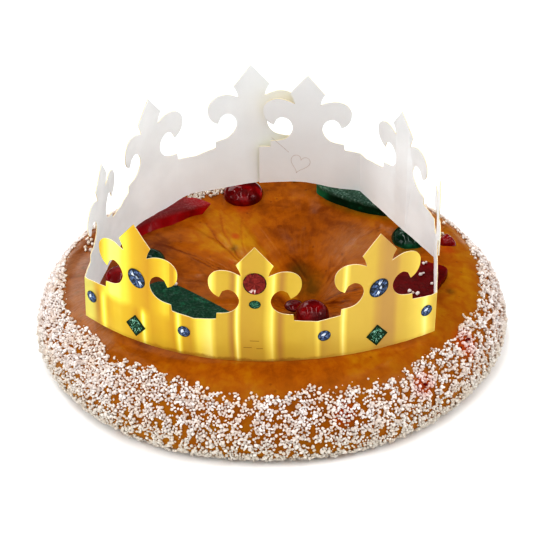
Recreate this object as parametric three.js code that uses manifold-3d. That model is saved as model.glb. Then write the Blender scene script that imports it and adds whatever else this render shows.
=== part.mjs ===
// Brioche king cake: a round loaf with a puckered hollow in the middle, candied fruit
// on its crust and a gilded card crown standing on top.
// Millimetres, +Z up. The origin is the middle of the loaf's flat base.

import * as THREE from 'three';
import Module from 'manifold-3d';

const wasm = await Module();
wasm.setup();

// ---------------------------------------------------------------- driving dimensions

const GAP = 0.3;                  // clearance between pieces that rest on each other

const LOAF = {
  radius: 132.4,                  // mean radius of the widest ring
  wider: 0.02,                    // the loaf is a little wider than it is deep
  oval: 0.012,                    // and a little longer on one diagonal
  lobes: 0.004,                   // six shallow lobes round the rim
  height: 47.2,                   // floor to crest
  sag: 0.9,                       // how much the crest dips and rises
  widest: 11,                     // height of the widest ring
  foot: 0.87,                     // flat base, as a share of the radius
  crest: 0.69,                    // ring of the crest, as a share of the radius
  shoulder: 0.8,                  // below 1 the side bulges more
  hollow: { x: 18, y: 4, floor: 15, steepness: 2.4 },
  around: 72,
  rows: { foot: 3, side: 7, slope: 12 },
};

// Creases of the dough that run into the hollow: direction in degrees, depth in mm
const CREASES = [
  [12, 2.2], [38, 1.4], [75, 1.8], [112, 2.0], [137, 2.8], [158, 2.6],
  [184, 2.0], [215, 2.2], [247, 1.6], [283, 2.0], [318, 2.4], [345, 1.4],
];
const CREASE = { width: 3.2, middle: 0.27, reach: 0.2 };

const CARD = {
  thickness: 0.6,
  standsAt: 51.3,                 // height of the lower edge over the origin line
  tilt: 0.045,                    // rise of the lower edge towards the back
  tiltFrom: -15,
  band: 28.2,                     // height of the band next to a lily
  dip: 1.8,                       // how far the band's top sinks between lilies
  slab: 8.75,                     // length of the flat facets the card is bent into
};

// The card's line on the cake, walked from the front lily both ways:
// length, how far it bends on the way, and the crease at its end (degrees)
const FRONT = { x: -10, y: -93.9, heading: -1.7 };
const RIGHT_WALK = [[105, 34.1, 55.2], [70, 0, 21.2], [78.75, 25.2, 39.2], [60, 2.7, 0]];
const LEFT_WALK = [[105, 44.9, 53], [70, 8.6, 0], [70, 45.8, 0], [61.25, 34.8, 0]];
const STRIP_ENDS = { left: -307, right: 313.4 };

// Each lily of the crown: place along the strip, and how far it leans outwards
const LILIES = [
  [-277, 4.3], [-209, 0.3], [-139, -1.9], [-67, 1.5], [0.8, 3.5],
  [68.5, 2.5], [135.5, 0.9], [210, -3.9], [285, -2.5],
];

// Right half of a lily, from its middle line: across, up
const LILY = {
  stepFoot: [21.8, 28.4],
  step: [21.4, 32.5],
  underCurl: [[14.4, 33.9], [10.3, 37.4], [8.7, 42.6], [10.6, 47.6], [14.6, 49.8], [18, 48.2]],
  tip: [19.8, 44],
  wing: [
    [22.9, 46], [25.1, 49.5], [25.8, 53.8], [25.2, 57.4],
    [22.8, 60.6], [19.2, 62.4], [15.2, 62.6], [11.3, 61.5],
  ],
  neck: [7.4, 59.6],
  waist: [8.5, 63.4],
  corner: [10.2, 66.9],
  peak: 80,
};

// Candied cherries: place, radius, height of the middle and half height
const CHERRIES = {
  cherry_red_back: { x: -17, y: 77, z: 47, radius: 11.2, rise: 7.9, colour: 0x9c0a1a },
  cherry_red_front: { x: 22.6, y: -46.5, z: 46, radius: 9.6, rise: 9, colour: 0x9c0a1a },
  cherry_red_left: { x: -84, y: -14, z: 46, radius: 9.5, rise: 5.2, colour: 0x8c1218 },
  cherry_green_left: { x: -68, y: 7, z: 45.5, radius: 11, rise: 7.5, colour: 0x0a3a24 },
  cherry_green_right: { x: 79, y: 31, z: 46, radius: 11.5, rise: 6.8, colour: 0x0a3a24 },
  chip_red_front: { x: 12, y: -31.5, z: 42, radius: 7, rise: 4, colour: 0x6a0a12 },
  chip_red_right: { x: 101.5, y: 27, z: 43.5, radius: 5.6, rise: 5, colour: 0x9c1420 },
};

// Candied slices: place, turn in degrees, half length, half width, how far the whole
// slice bows to its left side, lowest and highest level
const SLICES = {
  slice_red_back: {
    x: -64, y: 52.2, turn: 35, long: 31, wide: 10.5, bend: 4, low: 42, top: 53.4, colour: 0x7e1020,
  },
  slice_green_back: {
    x: 50, y: 71, turn: -28, long: 29, wide: 13, bend: 2, low: 42, top: 54.2, colour: 0x0f5a3c,
  },
  slice_green_front: {
    x: -46, y: -46, turn: -42, long: 34, wide: 15, bend: 3, low: 36, top: 51, colour: 0x0e3527,
  },
  slice_crimson: {
    x: 83, y: -14, turn: 66, long: 22.5, wide: 14.5, bend: 0, low: 38, top: 50.2, colour: 0x5c0008,
  },
};

const FRUIT = { around: 20, rows: 9, sliceAround: 28, sliceEdge: 2 };

// ---------------------------------------------------------------- solids and meshes

function meshOf(name, geometry, colour, roughness, metalness) {
  const material = new THREE.MeshStandardMaterial({ color: colour, roughness, metalness });
  const mesh = new THREE.Mesh(geometry, material);
  mesh.name = name;
  return mesh;
}

function geometryFrom(points, triangles) {
  const geometry = new THREE.BufferGeometry();
  geometry.setAttribute('position', new THREE.Float32BufferAttribute(points.flat(), 3));
  geometry.setIndex(triangles.flat());
  return geometry;
}

function solidFrom(geometry) {
  return new wasm.Manifold(new wasm.Mesh({
    numProp: 3,
    vertProperties: new Float32Array(geometry.attributes.position.array),
    triVerts: new Uint32Array(geometry.index.array),
  }));
}

function geometryOf(solid) {
  const mesh = solid.getMesh();
  const geometry = new THREE.BufferGeometry();
  geometry.setAttribute('position', new THREE.BufferAttribute(mesh.vertProperties, 3));
  geometry.setIndex(new THREE.BufferAttribute(mesh.triVerts, 1));
  return geometry;
}

// Closed skin over rings of equal length, with a single point at either end
function skinOver(firstPoint, rings, lastPoint) {
  const around = rings[0].length;
  const points = [firstPoint, ...rings.flat(), lastPoint];
  const triangles = [];
  const at = (row, i) => 1 + row * around + (i % around);
  for (let i = 0; i < around; i += 1) {
    triangles.push([0, at(0, i + 1), at(0, i)]);
    for (let row = 0; row < rings.length - 1; row += 1) {
      triangles.push([at(row, i), at(row, i + 1), at(row + 1, i + 1)]);
      triangles.push([at(row, i), at(row + 1, i + 1), at(row + 1, i)]);
    }
    triangles.push([points.length - 1, at(rings.length - 1, i), at(rings.length - 1, i + 1)]);
  }
  return geometryFrom(points, triangles);
}

// ---------------------------------------------------------------- the loaf

function loafRadius(angle) {
  const ellipse = LOAF.wider * Math.cos(2 * angle) + LOAF.oval * Math.sin(2 * angle);
  return LOAF.radius * (1 + ellipse + LOAF.lobes * Math.cos(6 * angle));
}

function crestHeight(angle) {
  return LOAF.height - LOAF.sag * (0.5 + 0.5 * Math.cos(3 * angle + 1.1));
}

// How deep the creases cut at a share of the radius, in a direction from the hollow
function creaseDepth(share, angle) {
  const fade = Math.exp(-(((share - CREASE.middle) / CREASE.reach) ** 2));
  const arm = share * LOAF.radius;
  let depth = 0;
  for (const [direction, deepest] of CREASES) {
    const turn = angle - THREE.MathUtils.degToRad(direction);
    const away = arm * Math.atan2(Math.sin(turn), Math.cos(turn));
    depth += deepest * Math.exp(-((away / CREASE.width) ** 2));
  }
  return depth * fade;
}

// Rings of the loaf as [share of the radius, height from 0 at the floor to 1 at the crest]
function sideRows() {
  const rows = [];
  const low = LOAF.widest / LOAF.height;
  for (let i = 0; i <= LOAF.rows.foot; i += 1) {
    const turn = (i / LOAF.rows.foot) * Math.PI / 2;
    rows.push([LOAF.foot + (1 - LOAF.foot) * Math.sin(turn), low * (1 - Math.cos(turn))]);
  }
  for (let i = 1; i <= LOAF.rows.side; i += 1) {
    const turn = (i / LOAF.rows.side) * Math.PI / 2;
    const reach = Math.max(Math.cos(turn), 0) ** LOAF.shoulder;
    rows.push([LOAF.crest + (1 - LOAF.crest) * reach, low + (1 - low) * Math.sin(turn)]);
  }
  return rows;
}

function sidePoint(share, rise, angle) {
  const reach = share * loafRadius(angle);
  return [reach * Math.cos(angle), reach * Math.sin(angle), rise * crestHeight(angle)];
}

function slopePoint(share, angle) {
  const inward = 1 - share / LOAF.crest;
  const { x, y, floor, steepness } = LOAF.hollow;
  const reach = share * loafRadius(angle);
  const crest = crestHeight(angle);
  const drop = (crest - floor) * inward ** steepness + creaseDepth(share, angle);
  return [x * inward + reach * Math.cos(angle), y * inward + reach * Math.sin(angle), crest - drop];
}

function makeLoaf() {
  const angles = Array.from({ length: LOAF.around }, (_, i) => (i / LOAF.around) * 2 * Math.PI);
  const rings = sideRows().map(([share, rise]) => angles.map((a) => sidePoint(share, rise, a)));
  for (let i = 1; i < LOAF.rows.slope; i += 1) {
    const share = LOAF.crest * (1 - i / LOAF.rows.slope);
    rings.push(angles.map((a) => slopePoint(share, a)));
  }
  const { x, y, floor } = LOAF.hollow;
  return skinOver([0, 0, 0], rings, [x, y, floor]);
}

// ---------------------------------------------------------------- candied fruit

function makeCherry({ x, y, z, radius, rise }) {
  const rings = [];
  for (let row = 1; row < FRUIT.rows; row += 1) {
    const turn = (row / FRUIT.rows) * Math.PI - Math.PI / 2;
    const reach = radius * Math.cos(turn);
    const level = z + rise * Math.sin(turn);
    const ring = [];
    for (let i = 0; i < FRUIT.around; i += 1) {
      const angle = (i / FRUIT.around) * 2 * Math.PI;
      ring.push([x + reach * Math.cos(angle), y + reach * Math.sin(angle), level]);
    }
    rings.push(ring);
  }
  return skinOver([x, y, z - rise], rings, [x, y, z + rise]);
}

// Outline of a slice: two bowed long sides that meet in rounded ends
function sliceOutline({ long, wide, bend }, inset) {
  const outline = [];
  for (let i = 0; i < FRUIT.sliceAround; i += 1) {
    const angle = (i / FRUIT.sliceAround) * 2 * Math.PI;
    const along = Math.sign(Math.cos(angle)) * Math.abs(Math.cos(angle)) ** 0.85;
    const across = Math.sign(Math.sin(angle)) * Math.abs(Math.sin(angle)) ** 0.8;
    const bow = bend * (1 - along * along);
    outline.push([(long - inset) * along, (wide - inset) * across + bow]);
  }
  return outline;
}

function makeSlice(slice) {
  const turn = THREE.MathUtils.degToRad(slice.turn);
  const place = (z) => ([along, across]) => [
    slice.x + along * Math.cos(turn) - across * Math.sin(turn),
    slice.y + along * Math.sin(turn) + across * Math.cos(turn),
    z,
  ];
  const edge = FRUIT.sliceEdge;
  const eased = 0.3 * edge;
  const layers = [[0, slice.low], [0, slice.top - edge], [eased, slice.top - eased], [edge, slice.top]];
  const rings = layers.map(([inset, z]) => sliceOutline(slice, inset).map(place(z)));
  const middle = [0, slice.bend];
  return skinOver(place(slice.low)(middle), rings, place(slice.top)(middle));
}

// ---------------------------------------------------------------- the card crown

// Outline of the flat strip, [along, up], starting at the lower left corner
function lilySide(side) {
  const at = ([across, up]) => new THREE.Vector2(side * across, up);
  const hook = new THREE.SplineCurve([LILY.step, ...LILY.underCurl].map(at));
  const wing = new THREE.SplineCurve([LILY.tip, ...LILY.wing, LILY.neck].map(at));
  return [at(LILY.stepFoot), ...hook.getPoints(9), ...wing.getPoints(9), at(LILY.waist), at(LILY.corner)];
}

function stripOutline() {
  const outline = [[STRIP_ENDS.left, 0], [STRIP_ENDS.left, CARD.band]];
  LILIES.forEach(([middle], i) => {
    const shift = (point) => [middle + point.x, point.y];
    outline.push(...lilySide(-1).map(shift), [middle, LILY.peak], ...lilySide(1).reverse().map(shift));
    if (i < LILIES.length - 1) {
      outline.push([(middle + LILIES[i + 1][0]) / 2, CARD.band - CARD.dip]);
    }
  });
  outline.push([STRIP_ENDS.right, CARD.band], [STRIP_ENDS.right, 0]);
  return outline.reverse();
}

// Cuts a flat polygon along one upright line and returns the pieces of both sides
function cutUpright(polygon, line) {
  const points = [];
  polygon.forEach((start, i) => {
    const end = polygon[(i + 1) % polygon.length];
    points.push({ at: start });
    if ((start[0] < line) !== (end[0] < line)) {
      const part = (line - start[0]) / (end[0] - start[0]);
      points.push({ at: [line, start[1] + part * (end[1] - start[1])], crossing: true });
    }
  });
  const crossings = points.filter((point) => point.crossing).sort((a, b) => a.at[1] - b.at[1]);
  crossings.forEach((point, i) => {
    point.partner = points.indexOf(crossings[i % 2 === 0 ? i + 1 : i - 1]);
  });
  const pieces = [];
  points.forEach((first, start) => {
    if (first.crossing || first.used) return;
    const piece = [];
    let i = start;
    do {
      const point = points[i];
      point.used = true;
      piece.push(point.at);
      if (point.crossing) piece.push(points[point.partner].at);
      i = ((point.crossing ? point.partner : i) + 1) % points.length;
    } while (i !== start);
    pieces.push(piece);
  });
  return pieces;
}

function walkCard(legs, sign) {
  const stations = [{ along: 0, x: FRONT.x, y: FRONT.y, heading: FRONT.heading, crease: 0 }];
  let heading = FRONT.heading;
  for (const [length, bend, crease] of legs) {
    const steps = Math.round(length / CARD.slab);
    for (let i = 0; i < steps; i += 1) {
      const last = stations[stations.length - 1];
      heading += sign * bend / steps / 2;
      const direction = THREE.MathUtils.degToRad(heading);
      heading += sign * bend / steps / 2;
      stations.push({
        along: last.along + sign * CARD.slab,
        x: last.x + sign * CARD.slab * Math.cos(direction),
        y: last.y + sign * CARD.slab * Math.sin(direction),
        heading,
        crease: 0,
      });
    }
    const corner = stations[stations.length - 1];
    corner.heading += sign * crease / 2;
    corner.crease = crease;
    heading += sign * crease;
  }
  return stations;
}

function leanAt(along) {
  const last = LILIES.length - 1;
  if (along <= LILIES[0][0]) return LILIES[0][1];
  if (along >= LILIES[last][0]) return LILIES[last][1];
  const i = LILIES.findIndex(([place]) => place > along);
  const [before, leanBefore] = LILIES[i - 1];
  const [after, leanAfter] = LILIES[i];
  return THREE.MathUtils.mapLinear(along, before, after, leanBefore, leanAfter);
}

// Foot of the card, its rising direction and its outward direction at each station
function cardStations() {
  const left = walkCard(LEFT_WALK, -1).slice(1).reverse();
  const upright = new THREE.Vector3(0, -CARD.tilt, 1).normalize();
  return [...left, ...walkCard(RIGHT_WALK, 1)].map((station) => {
    const direction = THREE.MathUtils.degToRad(station.heading);
    const mitre = 1 / Math.cos(THREE.MathUtils.degToRad(station.crease / 2));
    const out = new THREE.Vector3(Math.sin(direction), -Math.cos(direction), 0);
    const lean = THREE.MathUtils.degToRad(leanAt(station.along));
    const rise = upright.clone().multiplyScalar(Math.cos(lean)).addScaledVector(out, Math.sin(lean));
    const level = CARD.standsAt + CARD.tilt * (station.y - CARD.tiltFrom) + GAP;
    const foot = new THREE.Vector3(station.x, station.y, level);
    return { along: station.along, foot, rise, out: out.multiplyScalar(mitre) };
  });
}

// Bends the flat strip: [along, up] and a side of the card to a point of the crown
function bendCard(stations, [along, up], side) {
  const first = Math.floor((along - stations[0].along) / CARD.slab + 1e-9);
  const i = Math.min(Math.max(first, 0), stations.length - 2);
  const part = (along - stations[i].along) / CARD.slab;
  const mix = (key) => stations[i][key].clone().lerp(stations[i + 1][key], part);
  const point = mix('foot').addScaledVector(mix('rise'), up);
  return point.addScaledVector(mix('out'), side * CARD.thickness / 2).toArray();
}

function makeCrown() {
  const stations = cardStations();
  const lines = stations.map((station) => station.along);
  let pieces = [stripOutline()];
  for (const line of lines) {
    if (line > STRIP_ENDS.left && line < STRIP_ENDS.right) {
      pieces = pieces.flatMap((piece) => cutUpright(piece, line));
    }
  }
  const points = [];
  const known = new Map();
  const corner = (flat, side) => {
    const key = `${flat[0].toFixed(4)} ${flat[1].toFixed(4)} ${side}`;
    if (!known.has(key)) {
      known.set(key, points.length);
      points.push(bendCard(stations, flat, side));
    }
    return known.get(key);
  };
  const triangles = [];
  for (const piece of pieces) {
    const contour = piece.map(([along, up]) => new THREE.Vector2(along, up));
    for (const [a, b, c] of THREE.ShapeUtils.triangulateShape(contour, [])) {
      triangles.push([corner(piece[a], 1), corner(piece[b], 1), corner(piece[c], 1)]);
      triangles.push([corner(piece[c], -1), corner(piece[b], -1), corner(piece[a], -1)]);
    }
    piece.forEach((start, i) => {
      const end = piece[(i + 1) % piece.length];
      if (start[0] === end[0] && lines.includes(start[0])) return;
      triangles.push([corner(start, 1), corner(start, -1), corner(end, -1)]);
      triangles.push([corner(start, 1), corner(end, -1), corner(end, 1)]);
    });
  }
  return geometryFrom(points, triangles);
}

// ---------------------------------------------------------------- assembly

const cake = new THREE.Group();
cake.name = 'brioche_king_cake';

const loaf = makeLoaf();
cake.add(meshOf('brioche', loaf, 0xb0600f, 0.45, 0));
cake.add(meshOf('paper_crown', makeCrown(), 0xe8bd3c, 0.3, 0.7));

// Fruit is pressed onto the crust, so its underside follows the crust
const crust = solidFrom(loaf).translate([0, 0, GAP]);
for (const [name, cherry] of Object.entries(CHERRIES)) {
  const fruit = solidFrom(makeCherry(cherry)).subtract(crust);
  cake.add(meshOf(name, geometryOf(fruit), cherry.colour, 0.25, 0));
}
for (const [name, slice] of Object.entries(SLICES)) {
  const fruit = solidFrom(makeSlice(slice)).subtract(crust);
  cake.add(meshOf(name, geometryOf(fruit), slice.colour, 0.4, 0));
}

export default cake;
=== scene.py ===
"""Looks for a brioche king cake: glazed loaf, candied fruit, pearl sugar and a gilded card crown."""

import math
import random
from contextlib import contextmanager

import bpy
import numpy as np
from bpy.props import FloatProperty, FloatVectorProperty, IntProperty, PointerProperty
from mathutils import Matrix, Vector, noise


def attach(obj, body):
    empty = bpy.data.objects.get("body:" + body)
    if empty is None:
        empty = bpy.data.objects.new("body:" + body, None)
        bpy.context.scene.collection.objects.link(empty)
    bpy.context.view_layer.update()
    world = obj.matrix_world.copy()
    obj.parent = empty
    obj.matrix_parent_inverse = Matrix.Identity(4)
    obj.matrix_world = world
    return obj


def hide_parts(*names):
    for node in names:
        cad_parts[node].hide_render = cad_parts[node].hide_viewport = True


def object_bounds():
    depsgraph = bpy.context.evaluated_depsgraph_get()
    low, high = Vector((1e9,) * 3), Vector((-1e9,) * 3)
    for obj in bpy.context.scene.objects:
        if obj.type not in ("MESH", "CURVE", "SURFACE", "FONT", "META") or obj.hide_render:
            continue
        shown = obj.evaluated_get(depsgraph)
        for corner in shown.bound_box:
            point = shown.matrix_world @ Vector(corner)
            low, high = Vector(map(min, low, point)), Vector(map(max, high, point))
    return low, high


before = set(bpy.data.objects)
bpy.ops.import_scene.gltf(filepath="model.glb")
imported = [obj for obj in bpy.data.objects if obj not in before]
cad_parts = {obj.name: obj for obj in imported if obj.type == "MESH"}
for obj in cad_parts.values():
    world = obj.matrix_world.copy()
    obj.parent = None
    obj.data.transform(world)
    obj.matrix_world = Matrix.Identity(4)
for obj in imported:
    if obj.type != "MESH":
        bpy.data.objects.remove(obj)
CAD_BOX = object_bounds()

bl_info = {
    "name": "Brioche King Cake",
    "version": (1, 0, 0),
    "blender": (4, 5, 0),
    "location": "View3D > Sidebar > King Cake",
    "description": "Models a brioche king cake with candied fruit, pearl sugar and a card crown",
    "category": "Object",
}

MM = 0.001
FULL_TURN = 2 * math.pi
SEED = 1206

# ---------------------------------------------------------------- measures, in millimetres

RADIUS = 132.4
HEIGHT = 47.2
WIDEST = 11 / HEIGHT             # level of the widest ring, as a share of the crest
FOOT = 0.87                      # reach of the base, as a share of the radius
CREST = 0.69                     # reach of the crest, as a share of the radius
HOLLOW = Vector((18, 4, 15))     # bottom of the hollow
FOOT_ROWS, SIDE_ROWS, HOLLOW_ROWS = 8, 44, 96
BASE, SIDE, INSIDE = range(3)    # the parts of the loaf, from below to the hollow
CONE_REACH, CONE_STEP = 100, 10  # size of the plain cone of rings that the loaf starts as

# Creases of the dough: direction in degrees, depth
CREASES = (
    (12, 2.2), (38, 1.4), (75, 1.8), (112, 2.0), (137, 2.8), (158, 2.6),
    (184, 2.0), (215, 2.2), (247, 1.6), (283, 2.0), (318, 2.4), (345, 1.4),
)
# Thin folds of the skin: directions of the outer and the inner end, shares of the radius of the inner
# and the outer end, depth. A depth below zero is a ridge.
FOLDS = (
    (127, 145.5, 0.27, 0.56, 0.75), (117, 140, 0.27, 0.58, 0.6), (107, 133, 0.28, 0.52, 0.4),
    (157, 166, 0.24, 0.62, 0.9), (161, 170, 0.28, 0.46, 0.7), (36, 40, 0.44, 0.60, 0.6),
    (46, 12, 0.12, 0.36, -0.6), (60, 30, 0.14, 0.30, 0.4), (30, 2, 0.10, 0.30, -0.5),
    (14, -8, 0.12, 0.28, -0.5), (104, 70, 0.12, 0.27, 0.7), (-12, -12, 0.12, 0.34, 0.8),
    (-34, -34, 0.14, 0.36, 0.8), (-88, -88, 0.22, 0.38, 0.6), (-122, -122, 0.20, 0.42, 0.8),
)

# Upper edge of the sugar: direction in degrees, share of the radius
SUGAR_EDGE = (
    (-180, 0.885), (-170, 0.903), (-159, 0.902), (-147, 0.868), (-140, 0.895), (-135, 0.882),
    (-125, 0.862), (-118, 0.87), (-112, 0.882), (-105, 0.895), (-99, 0.906), (-92, 0.903),
    (-87, 0.916), (-82, 0.883), (-79, 0.879), (-75, 0.905), (-68, 0.891), (-61, 0.906),
    (-54, 0.915), (-51, 0.905), (-46, 0.898), (-39, 0.891), (-32, 0.897), (-25, 0.895),
    (-21, 0.878), (-16, 0.909), (-10, 0.902), (5, 0.886), (13, 0.885), (20, 0.905), (30, 0.89),
    (45, 0.885), (56, 0.885), (62, 0.88), (75, 0.885), (90, 0.875), (97, 0.86), (102, 0.81),
    (106, 0.75), (110, 0.69), (115, 0.665), (122, 0.665), (128, 0.73), (133, 0.79), (139, 0.86),
    (146, 0.89), (158, 0.9), (169, 0.915), (180, 0.885),
)
# Places on the side that the sugar has missed: direction in degrees, height, size
BALD = (
    (-9.8, 24.9, 8), (-21.5, 18, 9), (-46, 27, 6), (-68, 18, 7), (-95, 22, 7), (-128, 20, 7),
    (-153, 24, 6), (-172, 22, 6), (20, 24, 8), (62, 25, 9), (105, 18, 8), (140, 26, 8), (165, 18, 7),
)

# The strip of card: its level on the crust and how that tilts towards the back, the height of its band
# beside a lily, and how far the band dips between two lilies
CARD = dict(thickness=0.6, stands_at=51.3, tilt=0.045, tilt_from=-15, gap=0.3, band=28.2, dip=1.8)
FRONT = (-10, -93.9, -1.7)       # where the front lily stands, and its heading
# The card's line, walked from the front both ways: lengths, how far each bends, and the crease after it
RIGHT_WALK = ((105, 34.1, 55.2), (70, 0, 21.2), (78.75, 25.2, 39.2), (60, 2.7, 0))
LEFT_WALK = ((105, 44.9, 53), (70, 8.6, 0), (70, 45.8, 0), (61.25, 34.8, 0))
STRIP_ENDS = (-307, 313.4)
FOOT_CUT = (range(-186, -306, -4), range(310, 250, -4))    # where the lower edge is cut up, left and right
TUCK = dict(start=174, length=82, height=34, depth=5.1)    # where the foot is tucked in at the right rear
# Lilies: middle along the strip, lean outwards in degrees, width
LILIES = (
    (-277, 4.3, 1), (-209, 0.3, 1), (-139, -1.9, 1), (-66.6, 1.5, 0.985), (0.8, 3.5, 0.965),
    (68.3, 2.5, 0.965), (135.5, 0.9, 1), (210, -3.9, 1), (285, -2.5, 1),
)
# Right half of a lily, from its foot to its peak: across, up
LILY = dict(
    step_foot=(21.8, 28.4), step=(21.4, 32.5),
    under_curl=((14.4, 33.9), (10.3, 37.4), (8.7, 42.6), (10.6, 47.6), (14.6, 49.8), (18, 48.2)),
    tip=(19.8, 44),
    wing=((22.9, 46), (25.1, 49.5), (25.8, 53.8), (25.2, 57.4),
          (22.8, 60.6), (19.2, 62.4), (15.2, 62.6), (11.3, 61.5)),
    neck=(7.4, 59.6), waist=(8.5, 63.4), corner=(10.2, 66.9), peak=79.95,
)

# Painted reflections of the foil along the front of the strip, its glints and dark bands:
# place, tone from 0 brown to 1 white gold
GLINTS = (
    ((-150, 0.4), (-118, 0.3), (-106, 0.5), (-101, 0.66), (-99.5, 0.6), (-97.5, 0.34), (-95.5, 0.1),
     (-93.2, 0.14), (-91.3, 0.66), (-89.7, 0.86), (-87.6, 0.55), (-86, 0.4), (-82, 0.52), (-78, 0.54),
     (-70.5, 0.4), (-66.5, 0.24), (-64.5, 0.42), (-62.5, 0.95), (-60.5, 0.58), (-57, 0.34), (-50, 0.44),
     (-44, 0.28)),
    ((-44, 0.28), (-41, 0.92), (-38.5, 0.4), (-34.5, 0.34), (-30, 0.74), (-23, 0.86), (-19.5, 0.52),
     (-14, 0.5), (-11, 0.2), (-8.5, 0.97), (-6, 0.42), (5, 0.46), (10.5, 0.86), (12.5, 0.5), (14.5, 0.2),
     (18, 0.52), (33, 0.54), (35.5, 0.78), (38, 0.34), (42, 0.46), (47, 0.5), (49.3, 0.94)),
    ((49.3, 0.94), (52, 0.5), (65, 0.46), (68.5, 0.2), (72, 0.02), (78, 0.06), (81, 0.4), (86, 0.5),
     (91, 0.6), (95, 0.7), (98.5, 0.92), (102, 0.6), (106, 0.36), (112, 0.5), (118, 0.86), (123, 0.5),
     (140, 0.46), (150, 0.5)),
)
# Painted glints of the left lily, above its band
LEFT_LILY_GLINTS = (
    (-106, 0.24), (-97, 0.28), (-93, 0.36), (-88, 0.7), (-84, 0.86), (-78, 0.84), (-73, 0.68), (-67, 0.42),
    (-59, 0.26), (-54, 0.48), (-49, 0.62), (-44, 0.52),
)
# Short strokes pressed into the foil in front, in metres: height, start and end along the strip
STROKES = ((0.0098, -0.0055, -0.001), (0.0093, 0.0015, 0.005), (0.0146, -0.002, 0.003))

# Cherries and bits of cherry: middle, radius, height above the middle, colour, how clear the flesh is,
# how deep the three corners of a cut bit are pinched
CHERRIES = {
    "cherry_red_back": ((-17.0, 80, 46.8), 11.9, 7.5, "red", 0, 0),
    "cherry_red_front": ((22.6, -46.5, 46), 9.6, 9.0, "red", 0, 0),
    "cherry_red_left": ((-86, -8.5, 46.2), 9.0, 6.0, "red", 0.15, 0),
    "cherry_green_left": ((-69.5, 8, 45.5), 8.8, 8.0, "green", 0, 0),
    "cherry_green_right": ((80.5, 32.3, 46), 11.4, 7.6, "green", 0, 0),
    "chip_red_front": ((12.5, -29.5, 41.0), 5.6, 2.2, "crimson", 0, 0),
    "chip_red_right": ((101, 29, 43.5), 5.6, 7.0, "red", 0.12, 0.12),
}
# Slices: place, turn in degrees, half length and half width, bow of the middle line, skew of the right
# end, roundness of the corners, lowest and highest level, flare of the near side, which end is clear and
# painted glowing as if lit through (1 right, -1 left), and how much sugar frosts the top
SLICES = {
    "slice_red_back": ("red", dict(
        place=(-64.6, 46.8), turn=31.5, long=30.5, wide=8.0, bow=8.0, skew=-0.45, roundness=0.5,
        low=40, top=53.6, flare=8, glowing_end=1, frost=1.0)),
    "slice_green_back": ("green", dict(
        place=(52, 73), turn=-30, long=29, wide=11.5, bow=0.8, skew=0, roundness=0.85,
        low=42, top=53.6, flare=0, glowing_end=-1, frost=1.0)),
    "slice_green_front": ("green", dict(
        place=(-46, -46), turn=-42, long=34, wide=13.6, bow=0, skew=0, roundness=0.6,
        low=36, top=51, flare=0, glowing_end=0, frost=0.2)),
    "slice_crimson": ("crimson", dict(
        place=(81.9, -15.2), turn=66, long=19.5, wide=14.0, bow=0, skew=0, roundness=0.36,
        low=38, top=50.2, flare=0, glowing_end=1, frost=0.15)),
}
SLICE_RIM, SLICE_WALL_STEPS = 1.4, 5    # depth of a slice's rounded rim, and steps down its wall

# Flecks of peel baked into the crust: colour, place, size
FLECKS = (
    ("red", 109.5, -55.5, 36.0, 1.4), ("red", 104.5, -63, 35.2, 1.1), ("red", 84.5, -92, 31.0, 1.1),
    ("green", 14, 96, 46.6, 1.6), ("red", -96, 46, 44.6, 1.6), ("red", 44, 104, 43.5, 1.7),
)

# Stains in the crust, painted shade in the hollow and patches of painted glare: place, radius, softness
GREEN_STAINS = (
    (36, 73, 46, 4, 4), (41, 69, 46, 4, 4), (46, 65, 46, 4, 4), (51, 62, 46, 4, 4), (56, 60, 46, 4, 4),
    (61, 58, 46, 4, 4), (67, 56, 46, 4, 4), (79, 20, 46, 6, 3), (-38, -30, 42, 8, 4),
)
RED_STAINS = (
    (-17, 68, 46, 4, 4), (-21, 41.2, 42, 2.4, 1.4), (-23, 20, 38.4, 1.6, 1.4), (22, -37, 40, 9, 4),
    (101, 21, 44, 4, 3), (109, -57, 35, 8, 5), (84, -92, 31, 6, 4), (39.5, -118, 30, 6, 4),
)
# Olive stains; the first two are painted shade in the bottom of the hollow
OLIVE_STAINS_AND_SHADE = (
    (21, 16, 24, 9, 6), (16, 23, 29, 6, 5), (-22.2, 32, 40.3, 2.6, 1.6), (101.2, -21.5, 45.7, 2.6, 2),
    (-110.5, -20.5, 44.3, 1.6, 1.2), (-107.6, -40.2, 42.9, 1.6, 1.2), (-108, 2, 45.7, 1.3, 1),
    (-110.2, -4.8, 45.1, 1.2, 1),
)
# Patches of painted glare: a pinkish sheen on the left rim and inside the ring
PAINTED_GLARE_PATCHES = (
    (47, 34, 41, 13, 13), (38, 4, 32, 9, 8), (7, -25, 34, 5, 6), (-99, -54, 44, 11, 4),
    (-105, -38, 44, 12, 4), (-109, -20, 44, 12, 5), (-112, 8, 44, 11, 6), (-94, -66, 42, 7, 3),
)
STAINS_SHADE_AND_GLARE = {"green_stain": GREEN_STAINS, "red_stain": RED_STAINS, "olive_stain_and_shade": OLIVE_STAINS_AND_SHADE, "painted_glare": PAINTED_GLARE_PATCHES}

# The card's die-cut heart and the nick beside it, on the lap, drawn as grey lines of painted shade
HEART_MIDDLE = (289.5, 17.3)
HEART_STEPS = 40
SCORE_WIDTH, RUNG = 0.32, 0.1
NICK = [(306, 35), (302, 31), (296, 25)]

# The strewn sugar: how many places are tried, how close nibs may lie, how far grains stand out
SUGAR_TRIES, CRUMB_TRIES, CRUMBS = 140000, 16000, 4200
NIB_SPACING, NIB_STAND, CRUMB_STAND = 0.66, 0.22, 0.2
NIB_SHAPES = 8
SUGARED_SIDE = 30   # up to this height the whole side of the loaf carries sugar
PINK_SPOTS = ((0.109, -0.057, 0.035), (0.084, -0.092, 0.031))   # sugar stained by the cherries, in metres
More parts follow.
